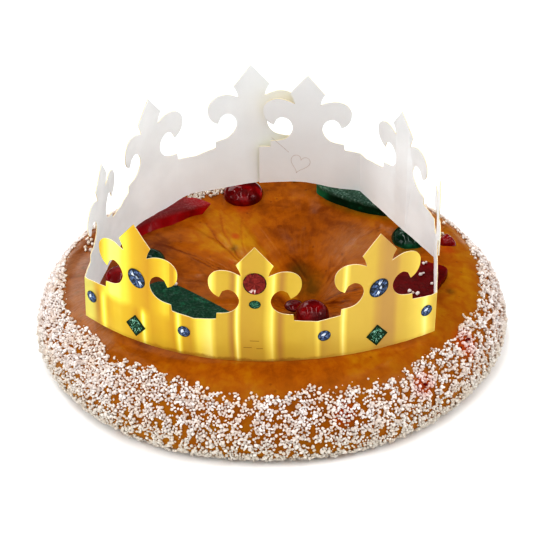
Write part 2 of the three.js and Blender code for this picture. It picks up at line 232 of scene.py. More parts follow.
# Single grains stuck to the fruit and the crust: place and size
STRAY_SUGAR = (
    (86.5, -0.5, 50.2, 2.2), (88, 0.5, 50.2, 1.6), (84.5, -12, 50.3, 2.4), (86.2, -10.4, 50.3, 1.6),
    (77.5, -28.5, 50, 2.2), (79.3, -30.2, 50, 1.7), (82, -31, 49.8, 2.6), (90.5, -21, 50, 1.8),
    (94, 1, 49.6, 1.7), (-54.5, -23.5, 51.4, 2.8), (99, 36, 46.6, 2.2), (97.5, 30, 47, 2.4),
    (100.3, 50, 45, 2.0),
    (-106, 28.5, 45.3, 2.4), (-104.3, 19.3, 46.4, 2.4), (-107.6, 23.8, 45.3, 2.2),
    (-103.6, 25.8, 46.2, 2.3), (-103.3, 17.5, 46.6, 2.0), (-107.3, 20.5, 45.6, 1.8),
    (-107, 33.8, 44.5, 2.5), (-104.5, 31, 45.6, 2.0),
)

# Gems printed on the strip: place along, height, turn in degrees
RED_GEMS = [(s, 55, 0) for s in (-277, -139, 0.8, 135.5, 285)]
GREEN_DROPS = [(s, 40.5, 0) for s in (-277, -139, 0.8, 135.5, 285)]
BLUE_GEMS = [(-209, 43, 24), (-66.1, 43.9, 24), (68.5, 43, -28), (210, 43, -28)]
GREEN_SQUARES = [(-209, 10, 0), (-68, 10.6, 0), (68.5, 10, 0), (210, 10, 0)]
BLUE_DOTS = [(s, 17 if s == 98.8 else 16, 20 if s < 0 else -24)
             for s in (-243, -174, -99.4, -38.5, 38.4, 98.8, 173, 247)]


# ---------------------------------------------------------------- settings a user may change

def colour_setting(name, description, value):
    return FloatVectorProperty(
        name=name, description=description, subtype="COLOR", size=3, min=0, max=1, default=value
    )


def length_setting(name, description, millimetres):
    return FloatProperty(name=name, description=description, default=millimetres * MM,
                         unit="LENGTH", precision=4)


def power_setting(name, description, watts):
    return FloatProperty(name=name, description=description, default=watts, unit="POWER")


def count_setting(name, description, default, least, most):
    return IntProperty(name=name, description=description, default=default, min=least, max=most)


class LoafSettings(bpy.types.PropertyGroup):
    steps: count_setting("Steps round", "How many facets the crust has round the loaf", 312, 48, 400)
    sugar_room: length_setting("Room for sugar", "How far the crust stays inside the sugar", 1.4)
    lumps: length_setting("Lumps", "Height of the crust's soft lumps", 0.5)
    golden: colour_setting("Golden crust", "Crust where it is baked least", (0.43, 0.215, 0.006))
    amber: colour_setting("Amber crust", "Main colour of the glazed crust", (0.34, 0.103, 0.003))
    brown: colour_setting("Brown crust", "Crust where it is baked most", (0.15, 0.032, 0.001))


class FruitSettings(bpy.types.PropertyGroup):
    red: colour_setting("Red fruit", "Candied cherries and slice", (0.15, 0.0008, 0.002))
    green: colour_setting("Green fruit", "Green cherries and slices", (0.0025, 0.036, 0.016))
    crimson: colour_setting("Crimson fruit", "Darkest red fruit", (0.115, 0.0004, 0.001))


class CrownSettings(bpy.types.PropertyGroup):
    thickness: length_setting("Thickness", "Thickness of the card", 0.5)
    fold_step: length_setting("Bend step", "Length of the flat facets the card is bent into", 2.92)
    gold: colour_setting("Gold", "Foil in plain light", (0.56, 0.385, 0.06))
    card: colour_setting("Card", "Bare inner face of the card", (0.822, 0.858, 0.868))


class SugarSettings(bpy.types.PropertyGroup):
    nibs: count_setting("Nibs", "How many nibs of pearl sugar lie on the crust", 12400, 0, 20000)
    smallest: length_setting("Smallest nib", "Size of the smallest nib", 1.3)
    largest: length_setting("Largest nib", "Size of the largest nib", 2.4)
    white: colour_setting("Sugar", "Colour of the pearl sugar", (0.74, 0.69, 0.67))


class StageSettings(bpy.types.PropertyGroup):
    elevation: FloatProperty(name="Elevation", description="Camera's angle above the table",
                             default=math.radians(33.5), subtype="ANGLE")
    distance: FloatProperty(name="Distance", description="From the camera to the cake",
                            default=1.867, unit="LENGTH")
    lens: FloatProperty(name="Lens", description="Focal length on a 36 mm sensor", default=216.7)
    surround: FloatProperty(name="Surround", description="Strength of the studio walls' light", default=0.27)
    top: power_setting("Top light", "Power of the softbox overhead", 2.6)
    strips: power_setting("Strip lights", "Power of each strip light overhead", 4.5)
    key: power_setting("Front light", "Power of the softbox in front", 16)
    fill: power_setting("Side lights", "Power of the softbox on the left; the right one has 1.4 times it", 8)
    window: power_setting("Window", "Power of the narrow light at the front left", 2.2)
    glare: power_setting("Rear light", "Power of the softbox at the back left", 15)


# ---------------------------------------------------------------- modelling helpers

def deselect():
    if bpy.context.object and bpy.context.object.mode != "OBJECT":
        bpy.ops.object.mode_set(mode="OBJECT")
    bpy.ops.object.select_all(action="DESELECT")


def choose(piece):
    deselect()
    piece.select_set(True)
    bpy.context.view_layer.objects.active = piece


@contextmanager
def editing(piece, mode="VERT"):
    choose(piece)
    bpy.ops.object.mode_set(mode="EDIT")
    bpy.ops.mesh.select_mode(type=mode)
    yield
    bpy.ops.object.mode_set(mode="OBJECT")


def added(name):
    piece = bpy.context.object
    piece.name = piece.data.name = name
    return piece


def points_of(piece):
    points = np.zeros(len(piece.data.vertices) * 3)
    piece.data.vertices.foreach_get("co", points)
    return points.reshape(-1, 3) / MM


def move_points(piece, points):
    piece.data.vertices.foreach_set("co", (np.asarray(points, float) * MM).ravel())
    piece.data.update()


def steady_faces(piece):
    """Faces as (corners, index), in an order and from a corner that are the same on every run."""
    faces = []
    for face in piece.data.polygons:
        corners = list(face.vertices)
        first = corners.index(min(corners))
        faces.append((corners[first:] + corners[:first], face.index))
    return sorted(faces)


def triangles_of(piece):
    return np.array([(corners[0], corners[k], corners[k + 1])
                     for corners, _ in steady_faces(piece) for k in range(1, len(corners) - 1)])


def normals_of(points, triangles):
    a, b, c = (points[triangles[:, k]] for k in range(3))
    facing = np.cross(b - a, c - a)
    normals = np.zeros(points.shape)
    for k in range(3):
        np.add.at(normals, triangles[:, k], facing)
    return normals / np.maximum(np.linalg.norm(normals, axis=1), 1e-12)[:, None]


def pick(piece, edges=None, faces=None):
    """Selects the edges or the faces that pass a test, and nothing else."""
    bpy.ops.object.mode_set(mode="OBJECT")
    for items, test in ((piece.data.vertices, None), (piece.data.edges, edges), (piece.data.polygons, faces)):
        for item in items:
            item.select = bool(test and test(item))
    bpy.ops.object.mode_set(mode="EDIT")


def select_all():
    bpy.ops.mesh.select_all(action="SELECT")


def fractal(points, scale, octaves=3, seed=0):
    """Soft noise of about -1 to 1 at points in millimetres; scale is the size of its lumps."""
    shift = Vector((seed * 17.3, seed * 5.1, seed * 9.7))
    return np.array([noise.fractal(Vector(p) / scale + shift, 1.0, 2.0, octaves) for p in points])


def smoothly(low, high, value):
    part = np.clip((np.asarray(value, float) - low) / (high - low), 0, 1)
    return part * part * (3 - 2 * part)


def bell(value, middle, width):
    return np.exp(-(((value - middle) / width) ** 2))


def towards(degrees, direction, width):
    """1 in a direction round the loaf, fading away over a width in degrees."""
    return bell((degrees - direction + 180) % 360 - 180, 0, width)


def swung(x, y, angle):
    """Flat places turned about the origin."""
    return x * np.cos(angle) - y * np.sin(angle), x * np.sin(angle) + y * np.cos(angle)


def scaled(colour, *factors):
    """A colour times one factor, or times one for each channel."""
    return tuple(c * k for c, k in zip(colour, factors * (3 // len(factors))))


def paint_values(piece, name, values):
    layer = piece.data.attributes.new(name, "FLOAT", "POINT")
    layer.data.foreach_set("value", np.asarray(values, np.float32))


def paint_vectors(piece, name, vectors):
    layer = piece.data.attributes.new(name, "FLOAT_VECTOR", "POINT")
    layer.data.foreach_set("vector", np.asarray(vectors, np.float32).ravel())


def smooth(piece, degrees=None):
    choose(piece)
    if degrees is None:
        bpy.ops.object.shade_smooth()
    else:
        bpy.ops.object.shade_smooth_by_angle(angle=math.radians(degrees))


def apply_modifier(piece, kind, **settings):
    choose(piece)
    modifier = piece.modifiers.new("Finish", kind)
    for key, value in settings.items():
        setattr(modifier, key, value)
    bpy.ops.object.modifier_apply(modifier=modifier.name)


def twin(piece, name):
    copy = bpy.data.objects.new(name, piece.data.copy())
    bpy.context.scene.collection.objects.link(copy)
    return copy


def join(pieces, name):
    choose(pieces[0])
    for piece in pieces:
        piece.select_set(True)
    bpy.ops.object.join()
    return added(name)


def dress(piece, materials, nodes=()):
    """Gives a finished piece its materials, hangs it from the root, and hides the CAD nodes it stands for."""
    if not piece.data.materials:
        for material in materials:
            piece.data.materials.append(material)
    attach(piece, "root")
    if nodes:
        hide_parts(*nodes)


# ---------------------------------------------------------------- material helpers

class Finish:
    """A node material while it is put together."""

    def __init__(self, name):
        self.material = bpy.data.materials.new(name)
        self.material.use_nodes = True
        self.tree = self.material.node_tree
        self.tree.nodes.clear()

    def add(self, kind, inputs=None, out=0, **settings):
        node = self.tree.nodes.new(kind)
        for key, value in settings.items():
            setattr(node, key, value)
        for socket, value in (inputs or {}).items():
            self.feed(node.inputs[socket], value)
        return None if out is None else node.outputs[out]

    def feed(self, socket, value):
        if isinstance(value, bpy.types.NodeSocket):
            self.tree.links.new(value, socket)
        elif hasattr(value, "__len__") and socket.type == "RGBA":
            socket.default_value = (*value[:3], 1)
        else:
            socket.default_value = value

    def place(self):
        return self.add("ShaderNodeTexCoord", out="Object")

    def noise(self, vector, size, detail=3.0, rough=0.55, distortion=0.0):
        """Noise whose lumps are about size metres across, from 0 to 1."""
        return self.add("ShaderNodeTexNoise", {
            "Vector": vector, "Scale": 1 / size, "Detail": detail, "Roughness": rough,
            "Distortion": distortion,
        })

    def cells(self, vector, size):
        """Distance from the middles of cells about size metres across."""
        return self.add("ShaderNodeTexVoronoi", {"Vector": vector, "Scale": 1 / size}, out="Distance")

    def math(self, operation, a, b=0.0, clamp=False):
        return self.add("ShaderNodeMath", {0: a, 1: b}, operation=operation, use_clamp=clamp)

    def times(self, a, b, clamp=False):
        return self.math("MULTIPLY", a, b, clamp)

    def plus(self, a, b, clamp=False):
        return self.math("ADD", a, b, clamp)

    def minus(self, a, b):
        return self.math("SUBTRACT", a, b)

    def spread(self, value, low, high, to_low=0.0, to_high=1.0, kind="SMOOTHSTEP"):
        return self.add("ShaderNodeMapRange", {
            "Value": value, "From Min": low, "From Max": high, "To Min": to_low, "To Max": to_high,
        }, interpolation_type=kind)

    def mix(self, factor, a, b):
        return self.add("ShaderNodeMix", {0: factor, 6: a, 7: b}, out=2, data_type="RGBA")

    def layers(self, colour, *layers):
        """Tints laid over a colour one after another, each with its cover."""
        for cover, tint in layers:
            colour = self.mix(cover, colour, tint)
        return colour

    def axis(self, vector, letter):
        return self.add("ShaderNodeSeparateXYZ", {0: vector}, out=letter)

    def value(self, name):
        return self.add("ShaderNodeAttribute", out="Fac", attribute_name=name)

    def vector(self, name):
        return self.add("ShaderNodeAttribute", out="Vector", attribute_name=name)

    def ramp(self, factor, stops):
        """Colours, or greys given as one number, along a factor."""
        node = self.tree.nodes.new("ShaderNodeValToRGB")
        elements = node.color_ramp.elements
        while len(elements) < len(stops):
            elements.new(0.5)
        for element, (position, colour) in zip(elements, stops):
            element.position = position
            grey = not hasattr(colour, "__len__")
            element.color = (colour,) * 3 + (1,) if grey else (*colour[:3], 1)
        self.feed(node.inputs[0], factor)
        return node.outputs[0]

    def bump(self, height, distance, strength):
        return self.add("ShaderNodeBump", {"Height": height, "Distance": distance, "Strength": strength})

    def shade(self, **sockets):
        """Ends the material in one shader; a socket's name has _ for each space."""
        inputs = {name.replace("_", " "): value for name, value in sockets.items()}
        shader = self.add("ShaderNodeBsdfPrincipled", inputs)
        self.add("ShaderNodeOutputMaterial", {"Surface": shader}, out=None)
        return self.material


# ---------------------------------------------------------------- the loaf

def loaf_radius(angle):
    return RADIUS * (1 + 0.02 * np.cos(2 * angle) + 0.012 * np.sin(2 * angle) + 0.004 * np.cos(6 * angle))


def crest_height(angle):
    return HEIGHT - 0.9 * (0.5 + 0.5 * np.cos(3 * angle + 1.1))


def beside(share, angle, direction):
    """Millimetres across from a line that leaves the middle in a direction, in radians."""
    turn = angle - direction
    return share * RADIUS * np.arctan2(np.sin(turn), np.cos(turn))


def crease_depth(share, angle):
    depth = np.zeros_like(share)
    for direction, deepest in CREASES:
        depth += deepest * bell(beside(share, angle, math.radians(direction)), 0, 3.2)
    return depth * bell(share, 0.27, 0.2)


def fold_depth(share, angle):
    """Thin sharp folds with a low lip on each side, which wander a little on their way to the hollow."""
    depth = np.zeros_like(share)
    for outer, inner, start, end, deepest in FOLDS:
        wander = 0.7 * np.sin(share * 19 + outer) + 0.3 * np.sin(share * 52 + 2 * outer)
        direction = np.radians(np.interp(share, (start, end), (inner, outer)))
        away = beside(share, angle, direction) + wander
        part = smoothly(start - 0.03, start + 0.04, share) * (1 - smoothly(end - 0.08, end, share))
        depth += deepest * part * (bell(away, 0, 0.75) - 0.16 * bell(np.abs(away), 1.5, 0.9))
    return depth


def loaf_rows():
    """Rings from the base's middle to the hollow: share of the radius, rise, part of the loaf."""
    rows = [(0.0, 0.0, BASE), (0.3, 0.0, BASE), (0.6, 0.0, BASE)]
    for i in range(FOOT_ROWS + 1):
        turn = i / FOOT_ROWS * math.pi / 2
        rows.append((FOOT + (1 - FOOT) * math.sin(turn), WIDEST * (1 - math.cos(turn)), SIDE))
    for i in range(1, SIDE_ROWS + 1):
        turn = i / SIDE_ROWS * math.pi / 2
        reach = max(math.cos(turn), 0) ** 0.8
        rows.append((CREST + (1 - CREST) * reach, WIDEST + (1 - WIDEST) * math.sin(turn), SIDE))
    for i in range(1, HOLLOW_ROWS + 1):
        rows.append((CREST * (1 - i / HOLLOW_ROWS), 0.0, INSIDE))
    return rows


def model_loaf(settings):
    """The crust: rings spun round the axis, shaped into the loaf, then roughened, creased and painted."""
    rows = loaf_rows()
    bpy.ops.mesh.primitive_circle_add(vertices=len(rows), radius=0.1, fill_type="NOTHING")
    loaf = added("brioche_crust")
    last = len(rows) - 1
    with editing(loaf, "EDGE"):
        pick(loaf, edges=lambda e: sorted(e.vertices) == [0, last])
        bpy.ops.mesh.delete(type="EDGE")
    # The profile is spun as a plain cone of rings, which keeps count of the rows
    move_points(loaf, [(CONE_REACH * share, 0, CONE_STEP * i) for i, (share, _, _) in enumerate(rows)])
    with editing(loaf):
        select_all()
        bpy.ops.mesh.spin(steps=settings.steps, angle=FULL_TURN, center=(0, 0, 0), axis=(0, 0, 1))
        select_all()
        bpy.ops.mesh.remove_doubles(threshold=0.01 * MM)
    cone = np.round(points_of(loaf), 3)
    row = np.rint(cone[:, 2] / CONE_STEP).astype(int)
    share, rise, part = np.array(rows)[row].T
    angle = np.arctan2(cone[:, 1], cone[:, 0])
    reach = share * loaf_radius(angle)
    crest = crest_height(angle)
    sloping = part == INSIDE
    inward = np.where(sloping, 1 - share / CREST, 0)
    drop = (crest - HOLLOW.z) * inward ** 2.4 + crease_depth(share, angle)
    sugared = smoothly(0.76, 0.97, share) * (part == SIDE)
    reach = reach - settings.sugar_room / MM * sugared
    points = np.stack([
        HOLLOW.x * inward + reach * np.cos(angle),
        HOLLOW.y * inward + reach * np.sin(angle),
        np.where(sloping, crest - drop, rise * crest),
    ], 1)
    points[np.where(sloping & (share < 1e-6))[0], :2] = HOLLOW.xy
    move_points(loaf, points)
    with editing(loaf):
        select_all()
        bpy.ops.mesh.normals_make_consistent(inside=False)
    standing = smoothly(1.0, 6.0, points[:, 2]) * (part > BASE)
    lumps = settings.lumps / MM * (fractal(points, 26) + 0.45 * fractal(points, 9, seed=2))
    ripples = 0.10 * fractal(np.stack([share * 14, np.cos(angle) * 9, np.sin(angle) * 9], 1), 1.0, seed=4)
    ripples = ripples * (1 - smoothly(0.3, 0.6, share)) * sloping
    dent = fold_depth(share, angle) * sloping
    shift = (lumps - 0.35) * standing + ripples - dent + swellings(points)
    points = points + normals_of(points, triangles_of(loaf)) * shift[:, None]
    points[:, 2] = np.maximum(points[:, 2], 0)
    move_points(loaf, points)
    paint_values(loaf, "bake_and_shade", bake_and_shade_of(points, share, angle, part))
    # Painted shade: how much the crust is darkened in its folds
    paint_values(loaf, "fold_shade", np.clip(dent / 1.2, 0, 1))
    paint_values(loaf, "sugared", sugared)
    grain = np.stack([np.cos(angle), np.sin(angle), 0.16 * share + 2 * (part < INSIDE)], 1)
    paint_vectors(loaf, "grain", grain)
    # Stains, painted shade and painted glare, each kept as its own attribute
    for name, spots in STAINS_SHADE_AND_GLARE.items():
        paint_values(loaf, name, patch_share(points, spots))
    paint_values(loaf, "gloss", gloss_of(share, angle, part))
    smooth(loaf)
    return loaf


def swellings(points):
    """A low swelling in front of the crown's middle, and a blister inside the ring."""
    x, y, z = points.T
    swelling = 0.5 * bell(x, 10, 22) * bell(y, -100, 15)
    blister = 1.7 * bell(x, -22.2, 2.1) * bell(y, 32, 3.0)
    return (swelling + blister) * (z > 30)


def patch_share(points, spots):
    """Share of a patch of stain, painted shade or glare at each point; a spot is x, y, z, radius and
    softness.
    """
    most = np.zeros(len(points))
    for x, y, z, radius, softness in spots:
        away = np.linalg.norm(points - (x, y, z), axis=1)
        most = np.maximum(most, 1 - smoothly(radius - softness, radius + softness, away))
    return most


def bake_and_shade_of(points, share, angle, part):
    """How dark the crust is baked, from 0 pale to 1 brown, with a painted shadow on the left inside the
    crest.
    """
    degrees = np.degrees(angle)
    ring = bell(share, 0.8, 0.14)
    bake_and_shade = (0.53 - 0.06 * ring * towards(degrees, -82, 40) + 0.3 * ring * towards(degrees, 172, 34)
            - 0.16 * ring * towards(degrees, 0, 45))
    inner = (part == INSIDE) * (1 - smoothly(0.5, 0.68, share))
    bake_and_shade = bake_and_shade + inner * (
        0.06 - 0.36 * towards(degrees, 128, 26) + 0.18 * towards(degrees, 172, 28)
        + 0.08 * towards(degrees, 40, 50) + 0.14 * towards(degrees, 95, 16) * (share < 0.4))
    # Painted shadow: the crust inside the crest on the left is darkened
    shadow = 0.32 * (share < 0.78) * smoothly(0.38, 0.6, share) * towards(degrees, 182, 38)
    bake_and_shade = bake_and_shade + shadow + 0.08 * inner * towards(degrees, -50, 60)
    low = (part < INSIDE) * (1 - smoothly(8, 34, points[:, 2]))
    return np.clip(bake_and_shade - 0.22 * low, 0, 1)


def gloss_of(share, angle, part):
    """Share of syrupy gloss: little in the hollow and on the drier crest and side in front."""
    degrees = np.degrees(angle)
    front = bell(degrees, -90, 62) * smoothly(0.6, 0.7, share)
    hollow = (part == INSIDE) * (1 - smoothly(0.14, 0.30, share))
    behind = (part == INSIDE) * (1 - smoothly(0.5, 0.65, share)) * bell(degrees, 85, 40)
    return np.clip(1 - 0.9 * front - 0.7 * hollow - 0.6 * behind, 0, 1)


def crust_finish(settings):
    """Glazed crust: baked tones and painted shade broken up by patches and fibres, with pores, stains,
    painted glare and a syrupy coat.
    """
    finish = Finish("glazed_crust")
    place = finish.place()
    broad = finish.noise(place, 0.042, 4, 0.6)
    mottle = finish.noise(place, 0.007, 6, 0.62, 0.4)
    fine = finish.noise(place, 0.0014, 5, 0.6)
    fibre = finish.noise(finish.vector("grain"), 0.028, 4, 0.6, 0.3)
    thread = finish.noise(finish.vector("grain"), 0.009, 3, 0.6)
    streak = finish.noise(finish.vector("grain"), 0.006, 5, 0.7, 0.6)
    # The bake tone carries the painted shadow too
    tone = finish.value("bake_and_shade")
    for pattern, low, high, strength in (
        (broad, 0.3, 0.7, 0.15), (mottle, 0.32, 0.68, 0.13),
        (fibre, 0.3, 0.7, 0.035), (thread, 0.3, 0.7, 0.012),
    ):
        tone = finish.plus(tone, finish.spread(pattern, low, high, -strength, strength))
    # Painted shade in the folds darkens the tone
    tone = finish.plus(tone, finish.times(finish.value("fold_shade"), 0.6), clamp=True)
    colour = finish.ramp(tone, ((0.05, settings.golden), (0.5, settings.amber), (1.0, settings.brown)))
    pores = finish.spread(finish.cells(place, 0.0085), 0.05, 0.13, 1.0, 0.0)
    # Olive stains, and painted shade in the hollow
    olive_and_shade = finish.times(finish.value("olive_stain_and_shade"), finish.spread(mottle, 0.3, 0.7, 0.35, 0.65))
    # Painted glare: a pinkish sheen laid in streaks over the crust
    painted_glare = finish.times(finish.value("painted_glare"), finish.spread(streak, 0.32, 0.66, 0.12, 0.62))
    colour = finish.layers(
        colour,
        (finish.times(pores, 0.35), (0.09, 0.022, 0.004)),
        # Painted shade: the crust under the sugar is darkened, as between the nibs
        (finish.times(finish.value("sugared"), 0.45), (0.24, 0.095, 0.012)),
        (olive_and_shade, (0.085, 0.060, 0.008)),
        (painted_glare, (0.325, 0.18, 0.108)),
        (finish.times(finish.value("green_stain"), 0.4), (0.10, 0.12, 0.01)),
        (finish.times(finish.value("red_stain"), 0.65), (0.40, 0.045, 0.01)),
    )
    height = finish.plus(finish.times(mottle, 0.7), finish.times(fine, 0.2))
    height = finish.plus(height, finish.times(thread, 0.2))
    height = finish.minus(height, finish.times(pores, 0.5))
    return finish.shade(
        Base_Color=colour, Roughness=finish.spread(mottle, 0.3, 0.7, 0.30, 0.42),
        Normal=finish.bump(height, 0.0006, 0.55), Specular_IOR_Level=0.02,
        Coat_Weight=finish.times(finish.value("gloss"), 0.45), Coat_Roughness=0.2,
        Coat_Normal=finish.bump(mottle, 0.0004, 0.25),
    )


class KC_OT_loaf(bpy.types.Operator):
    """Model the glazed loaf with its puckered hollow"""
    bl_idname = "king_cake.loaf"
    bl_label = "Loaf"

    def execute(self, context):
        settings = context.scene.kc_loaf
        loaf = model_loaf(settings)
        dress(loaf, [crust_finish(settings)], ["brioche"])
        return {"FINISHED"}


# ---------------------------------------------------------------- candied fruit

def model_cherry(name, centre, radius, rise, clear, pinch, seed):
    """A sunken candied cherry: a ball with soft dents, faint flutes and a dimple at the stalk."""
    bpy.ops.mesh.primitive_uv_sphere_add(segments=56, ring_count=30, radius=1 * MM)
    cherry = added(name)
    ball = points_of(cherry)
    rng = random.Random(seed)
    turn = np.arctan2(ball[:, 1], ball[:, 0])
    reach = np.hypot(ball[:, 0], ball[:, 1])
    dents = 0.017 * fractal(ball * (2.2, 2.2, 0.8), 1.0, 3, seed)
    flutes = 0.004 * np.sin(turn * 9 + 2.5 * fractal(ball, 0.7, 2, seed + 3)) * reach
    size = 0.99 + dents + flutes
    if pinch:
        size -= 0.02 + pinch * np.sin(3 * turn) * reach
    lean = np.array([rng.uniform(-0.1, 0.1), rng.uniform(-0.1, 0.1)])
    dimple = 0.07 * bell(np.hypot(ball[:, 0] - lean[0], ball[:, 1] - lean[1]), 0, 0.24)
    points = ball * size[:, None]
    points[:, 2] -= dimple * (ball[:, 2] > 0)
    points[:, 2] = np.minimum(points[:, 2], 1.0)
    move_points(cherry, points * (radius, radius, rise) + centre)
    paint_values(cherry, "clear", np.full(len(points), clear))
    smooth(cherry)
    return cherry


def slice_edge(angle, roundness):
    along = np.sign(np.cos(angle)) * np.abs(np.cos(angle)) ** roundness
    across = np.sign(np.sin(angle)) * np.abs(np.sin(angle)) ** (roundness - 0.05)
    return along, across


def model_slice(name, seed, place, turn, long, wide, bow, skew, roundness, low, top, flare, glowing_end, frost):
    """A domed grid in the slice's outline, whose rim is drawn down into the crust."""
    bpy.ops.mesh.primitive_grid_add(x_subdivisions=88, y_subdivisions=44, size=2 * MM)
    piece = added(name)
    grid = points_of(piece)[:, :2]
    disc = np.stack([grid[:, 0] * np.sqrt(1 - grid[:, 1] ** 2 / 2),
                     grid[:, 1] * np.sqrt(1 - grid[:, 0] ** 2 / 2)], 1)
    arm = np.linalg.norm(disc, axis=1)
    along, across = slice_edge(np.arctan2(disc[:, 1], disc[:, 0]), roundness)
    reach_along, reach_across = long - 0.4, wide - 0.4
    flat = np.stack([arm * along * reach_along, arm * across * reach_across], 1)
    bend = bow * (1 - (flat[:, 0] / reach_along) ** 2)
    inset = (1 - arm) * wide
    rounding = 1.0 * (1 - np.sqrt(np.clip(1 - (1 - np.clip(inset / 1.3, 0, 1)) ** 2, 0, 1)))
    flat[:, 0] += skew * flat[:, 1] * smoothly(0.1, 0.9, flat[:, 0] / reach_along)
    local = np.stack([flat[:, 0], flat[:, 1] + bend, np.zeros(len(flat))], 1)
    relief = 0.35 * fractal(local, 8, 3, seed) + 0.2 * fractal(local, 1.7, 2, seed + 1) - 0.4
    local[:, 2] = top + relief * smoothly(0, 1.5, inset) - rounding
    move_points(piece, local)
    with editing(piece, "EDGE"):
        select_all()
        bpy.ops.mesh.region_to_loop()
        depth = (top - SLICE_RIM - low) / SLICE_WALL_STEPS
        for _ in range(SLICE_WALL_STEPS):
            bpy.ops.mesh.extrude_edges_move(TRANSFORM_OT_translate={"value": (0, 0, -depth * MM)})
        bpy.ops.mesh.edge_face_add()
        select_all()
        bpy.ops.mesh.normals_make_consistent(inside=False)
    points = points_of(piece)
    level = points[:, 2]
    side = 1 - smoothly(top - 2.4, top - 1.0, level)
    swell = (0.1 if flare else 0.35) * fractal(points * (1, 1, 0.6), 4, 2, seed + 5) - 0.1
    outward = points[:, :2] - (0, bow)
    length = np.maximum(np.linalg.norm(outward, axis=1, keepdims=True), 1e-6)
    points[:, :2] += outward / length * (swell * side)[:, None]
    points[:, 2] = np.minimum(points[:, 2], top - 0.02)
    deep = np.clip((top - 1 - level) / (top - low), 0, 1)
    centre_line = bow * (1 - np.minimum(points[:, 0] / reach_along, 1) ** 2)
    tip = smoothly(0.1, 0.95, points[:, 0] / long)
    points[:, 1] -= flare * deep * (1 - 1.6 * tip) * (points[:, 1] < centre_line)
    points[:, 0] -= flare * deep * tip
    x, y = swung(points[:, 0], points[:, 1], math.radians(turn))
    move_points(piece, np.stack([place[0] + x, place[1] + y, points[:, 2]], 1))
    paint_values(piece, "frost", (1 - side) * frost)
    paint_values(piece, "cut", 1 - 0.4 * side)
    # Painted light: the clear end, and the walls of a flared slice, are made lighter as if lit through
    lit = smoothly(0.45, 1.0, glowing_end * points[:, 0] / long) * (1 - 0.6 * (1 - side))
    paint_values(piece, "clear", np.maximum(lit, 0.3 * side * (flare > 0)))
    smooth(piece, 40)
    return piece


def fruit_finish(name, colour, pale, frost):
    """Syrupy fruit: a wet clear coat over saturated flesh, frosted with sugar on top where it is cut."""
    finish = Finish(name)
    place = finish.place()
    cut, frosted = finish.value("cut"), finish.value("frost")
    rime_tint = tuple(0.6 * c + 0.24 for c in pale)
    haze = tuple(0.8 * c + 0.2 * t for c, t in zip(colour, rime_tint))
    clear_and_glow_tint = tuple(min(1.0, 1.7 * c + 0.004) for c in pale)
    cloud = finish.mix(cut, finish.noise(place, 0.008, 2, 0.5), finish.noise(place, 0.004, 5, 0.75))
    flesh = finish.ramp(cloud, ((0.34, scaled(colour, 0.55)), (0.56, colour), (0.84, pale)))
    crystals = finish.spread(finish.noise(place, 0.0014, 4, 0.7), 0.42, 0.66)
    patches = finish.spread(finish.noise(place, 0.0055, 3, 0.6), 0.34, 0.66, 0.25, 1.0)
    rime = finish.times(finish.times(frosted, finish.times(crystals, patches)), frost, clamp=True)
    body = finish.layers(
        flesh,
        (finish.times(frosted, 0.7), haze),
        # The clear tint: how light a cherry's flesh is, and on slices a painted glow of light through the
        # clear end
        (finish.times(finish.value("clear"), 0.8), clear_and_glow_tint),
        (rime, rime_tint),
    )
    ripple = finish.times(finish.plus(0.12, frosted), crystals)
    height = finish.plus(finish.times(ripple, 0.6), finish.times(rime, 0.6))
    return finish.shade(
        Base_Color=body, Roughness=finish.plus(0.14, finish.times(frosted, 0.4)),
        Normal=finish.bump(height, 0.0005, 0.6), Specular_IOR_Level=0.04,
        Coat_Weight=finish.minus(0.65, finish.times(cut, 0.6)), Coat_Roughness=0.04, Coat_IOR=1.45,
        Subsurface_Weight=0.06, Subsurface_Scale=0.003, Subsurface_Radius=(1.0, 0.5, 0.4),
    )


def model_flecks(seed):
    """Small flecks of candied peel baked into the crust, one piece for each colour."""
    rng = random.Random(seed)
    pieces = {"red": [], "green": []}
    for i, (colour, x, y, z, size) in enumerate(FLECKS):
        bpy.ops.mesh.primitive_ico_sphere_add(subdivisions=3, radius=1 * MM)
        fleck = added(f"fleck_{i}")
        ball = points_of(fleck)
        stretch = (rng.uniform(1.0, 1.7), rng.uniform(0.6, 0.9), 0.42)
        lump = 1 + 0.25 * fractal(ball, 0.9, 2, i)
        body = ball * lump[:, None] * stretch * size
        east, north = swung(body[:, 0], body[:, 1], rng.uniform(0, math.pi))
        move_points(fleck, np.stack([east, north, body[:, 2]], 1) + (x, y, z))
        paint_values(fleck, "frost", np.zeros(len(ball)))
        smooth(fleck)
        pieces[colour].append(fleck)
    return {colour: join(group, f"flecks_{colour}") for colour, group in pieces.items()}


class KC_OT_fruit(bpy.types.Operator):
    """Model the candied cherries, slices and flecks"""
    bl_idname = "king_cake.fruit"
    bl_label = "Candied fruit"

    def execute(self, context):
        look = context.scene.kc_fruit
        finishes = {
            "red": fruit_finish("candied_red", look.red, (0.36, 0.004, 0.008), 0.36),
            "green": fruit_finish("candied_green", look.green, (0.014, 0.195, 0.092), 0.85),
            "crimson": fruit_finish("candied_crimson", look.crimson, (0.20, 0.001, 0.003), 0.05),
        }
        for i, (node, (centre, radius, rise, colour, clear, pinch)) in enumerate(CHERRIES.items()):
            piece = model_cherry(f"glazed_{node}", centre, radius, rise, clear, pinch, SEED + i)
            dress(piece, [finishes[colour]], [node])
        for i, (node, (colour, shape)) in enumerate(SLICES.items()):
            piece = model_slice(f"sugared_{node}", SEED + 20 + i, **shape)
            dress(piece, [finishes[colour]], [node])
        for colour, piece in model_flecks(SEED).items():
            dress(piece, [finishes[colour]])
        return {"FINISHED"}


# ---------------------------------------------------------------- the card crown

# The lap: its middle along the strip, the length of one round, and the rise of its foot with its reach
LAP = dict(middle=289, round=595, rise=3.8, before=16, after=26)
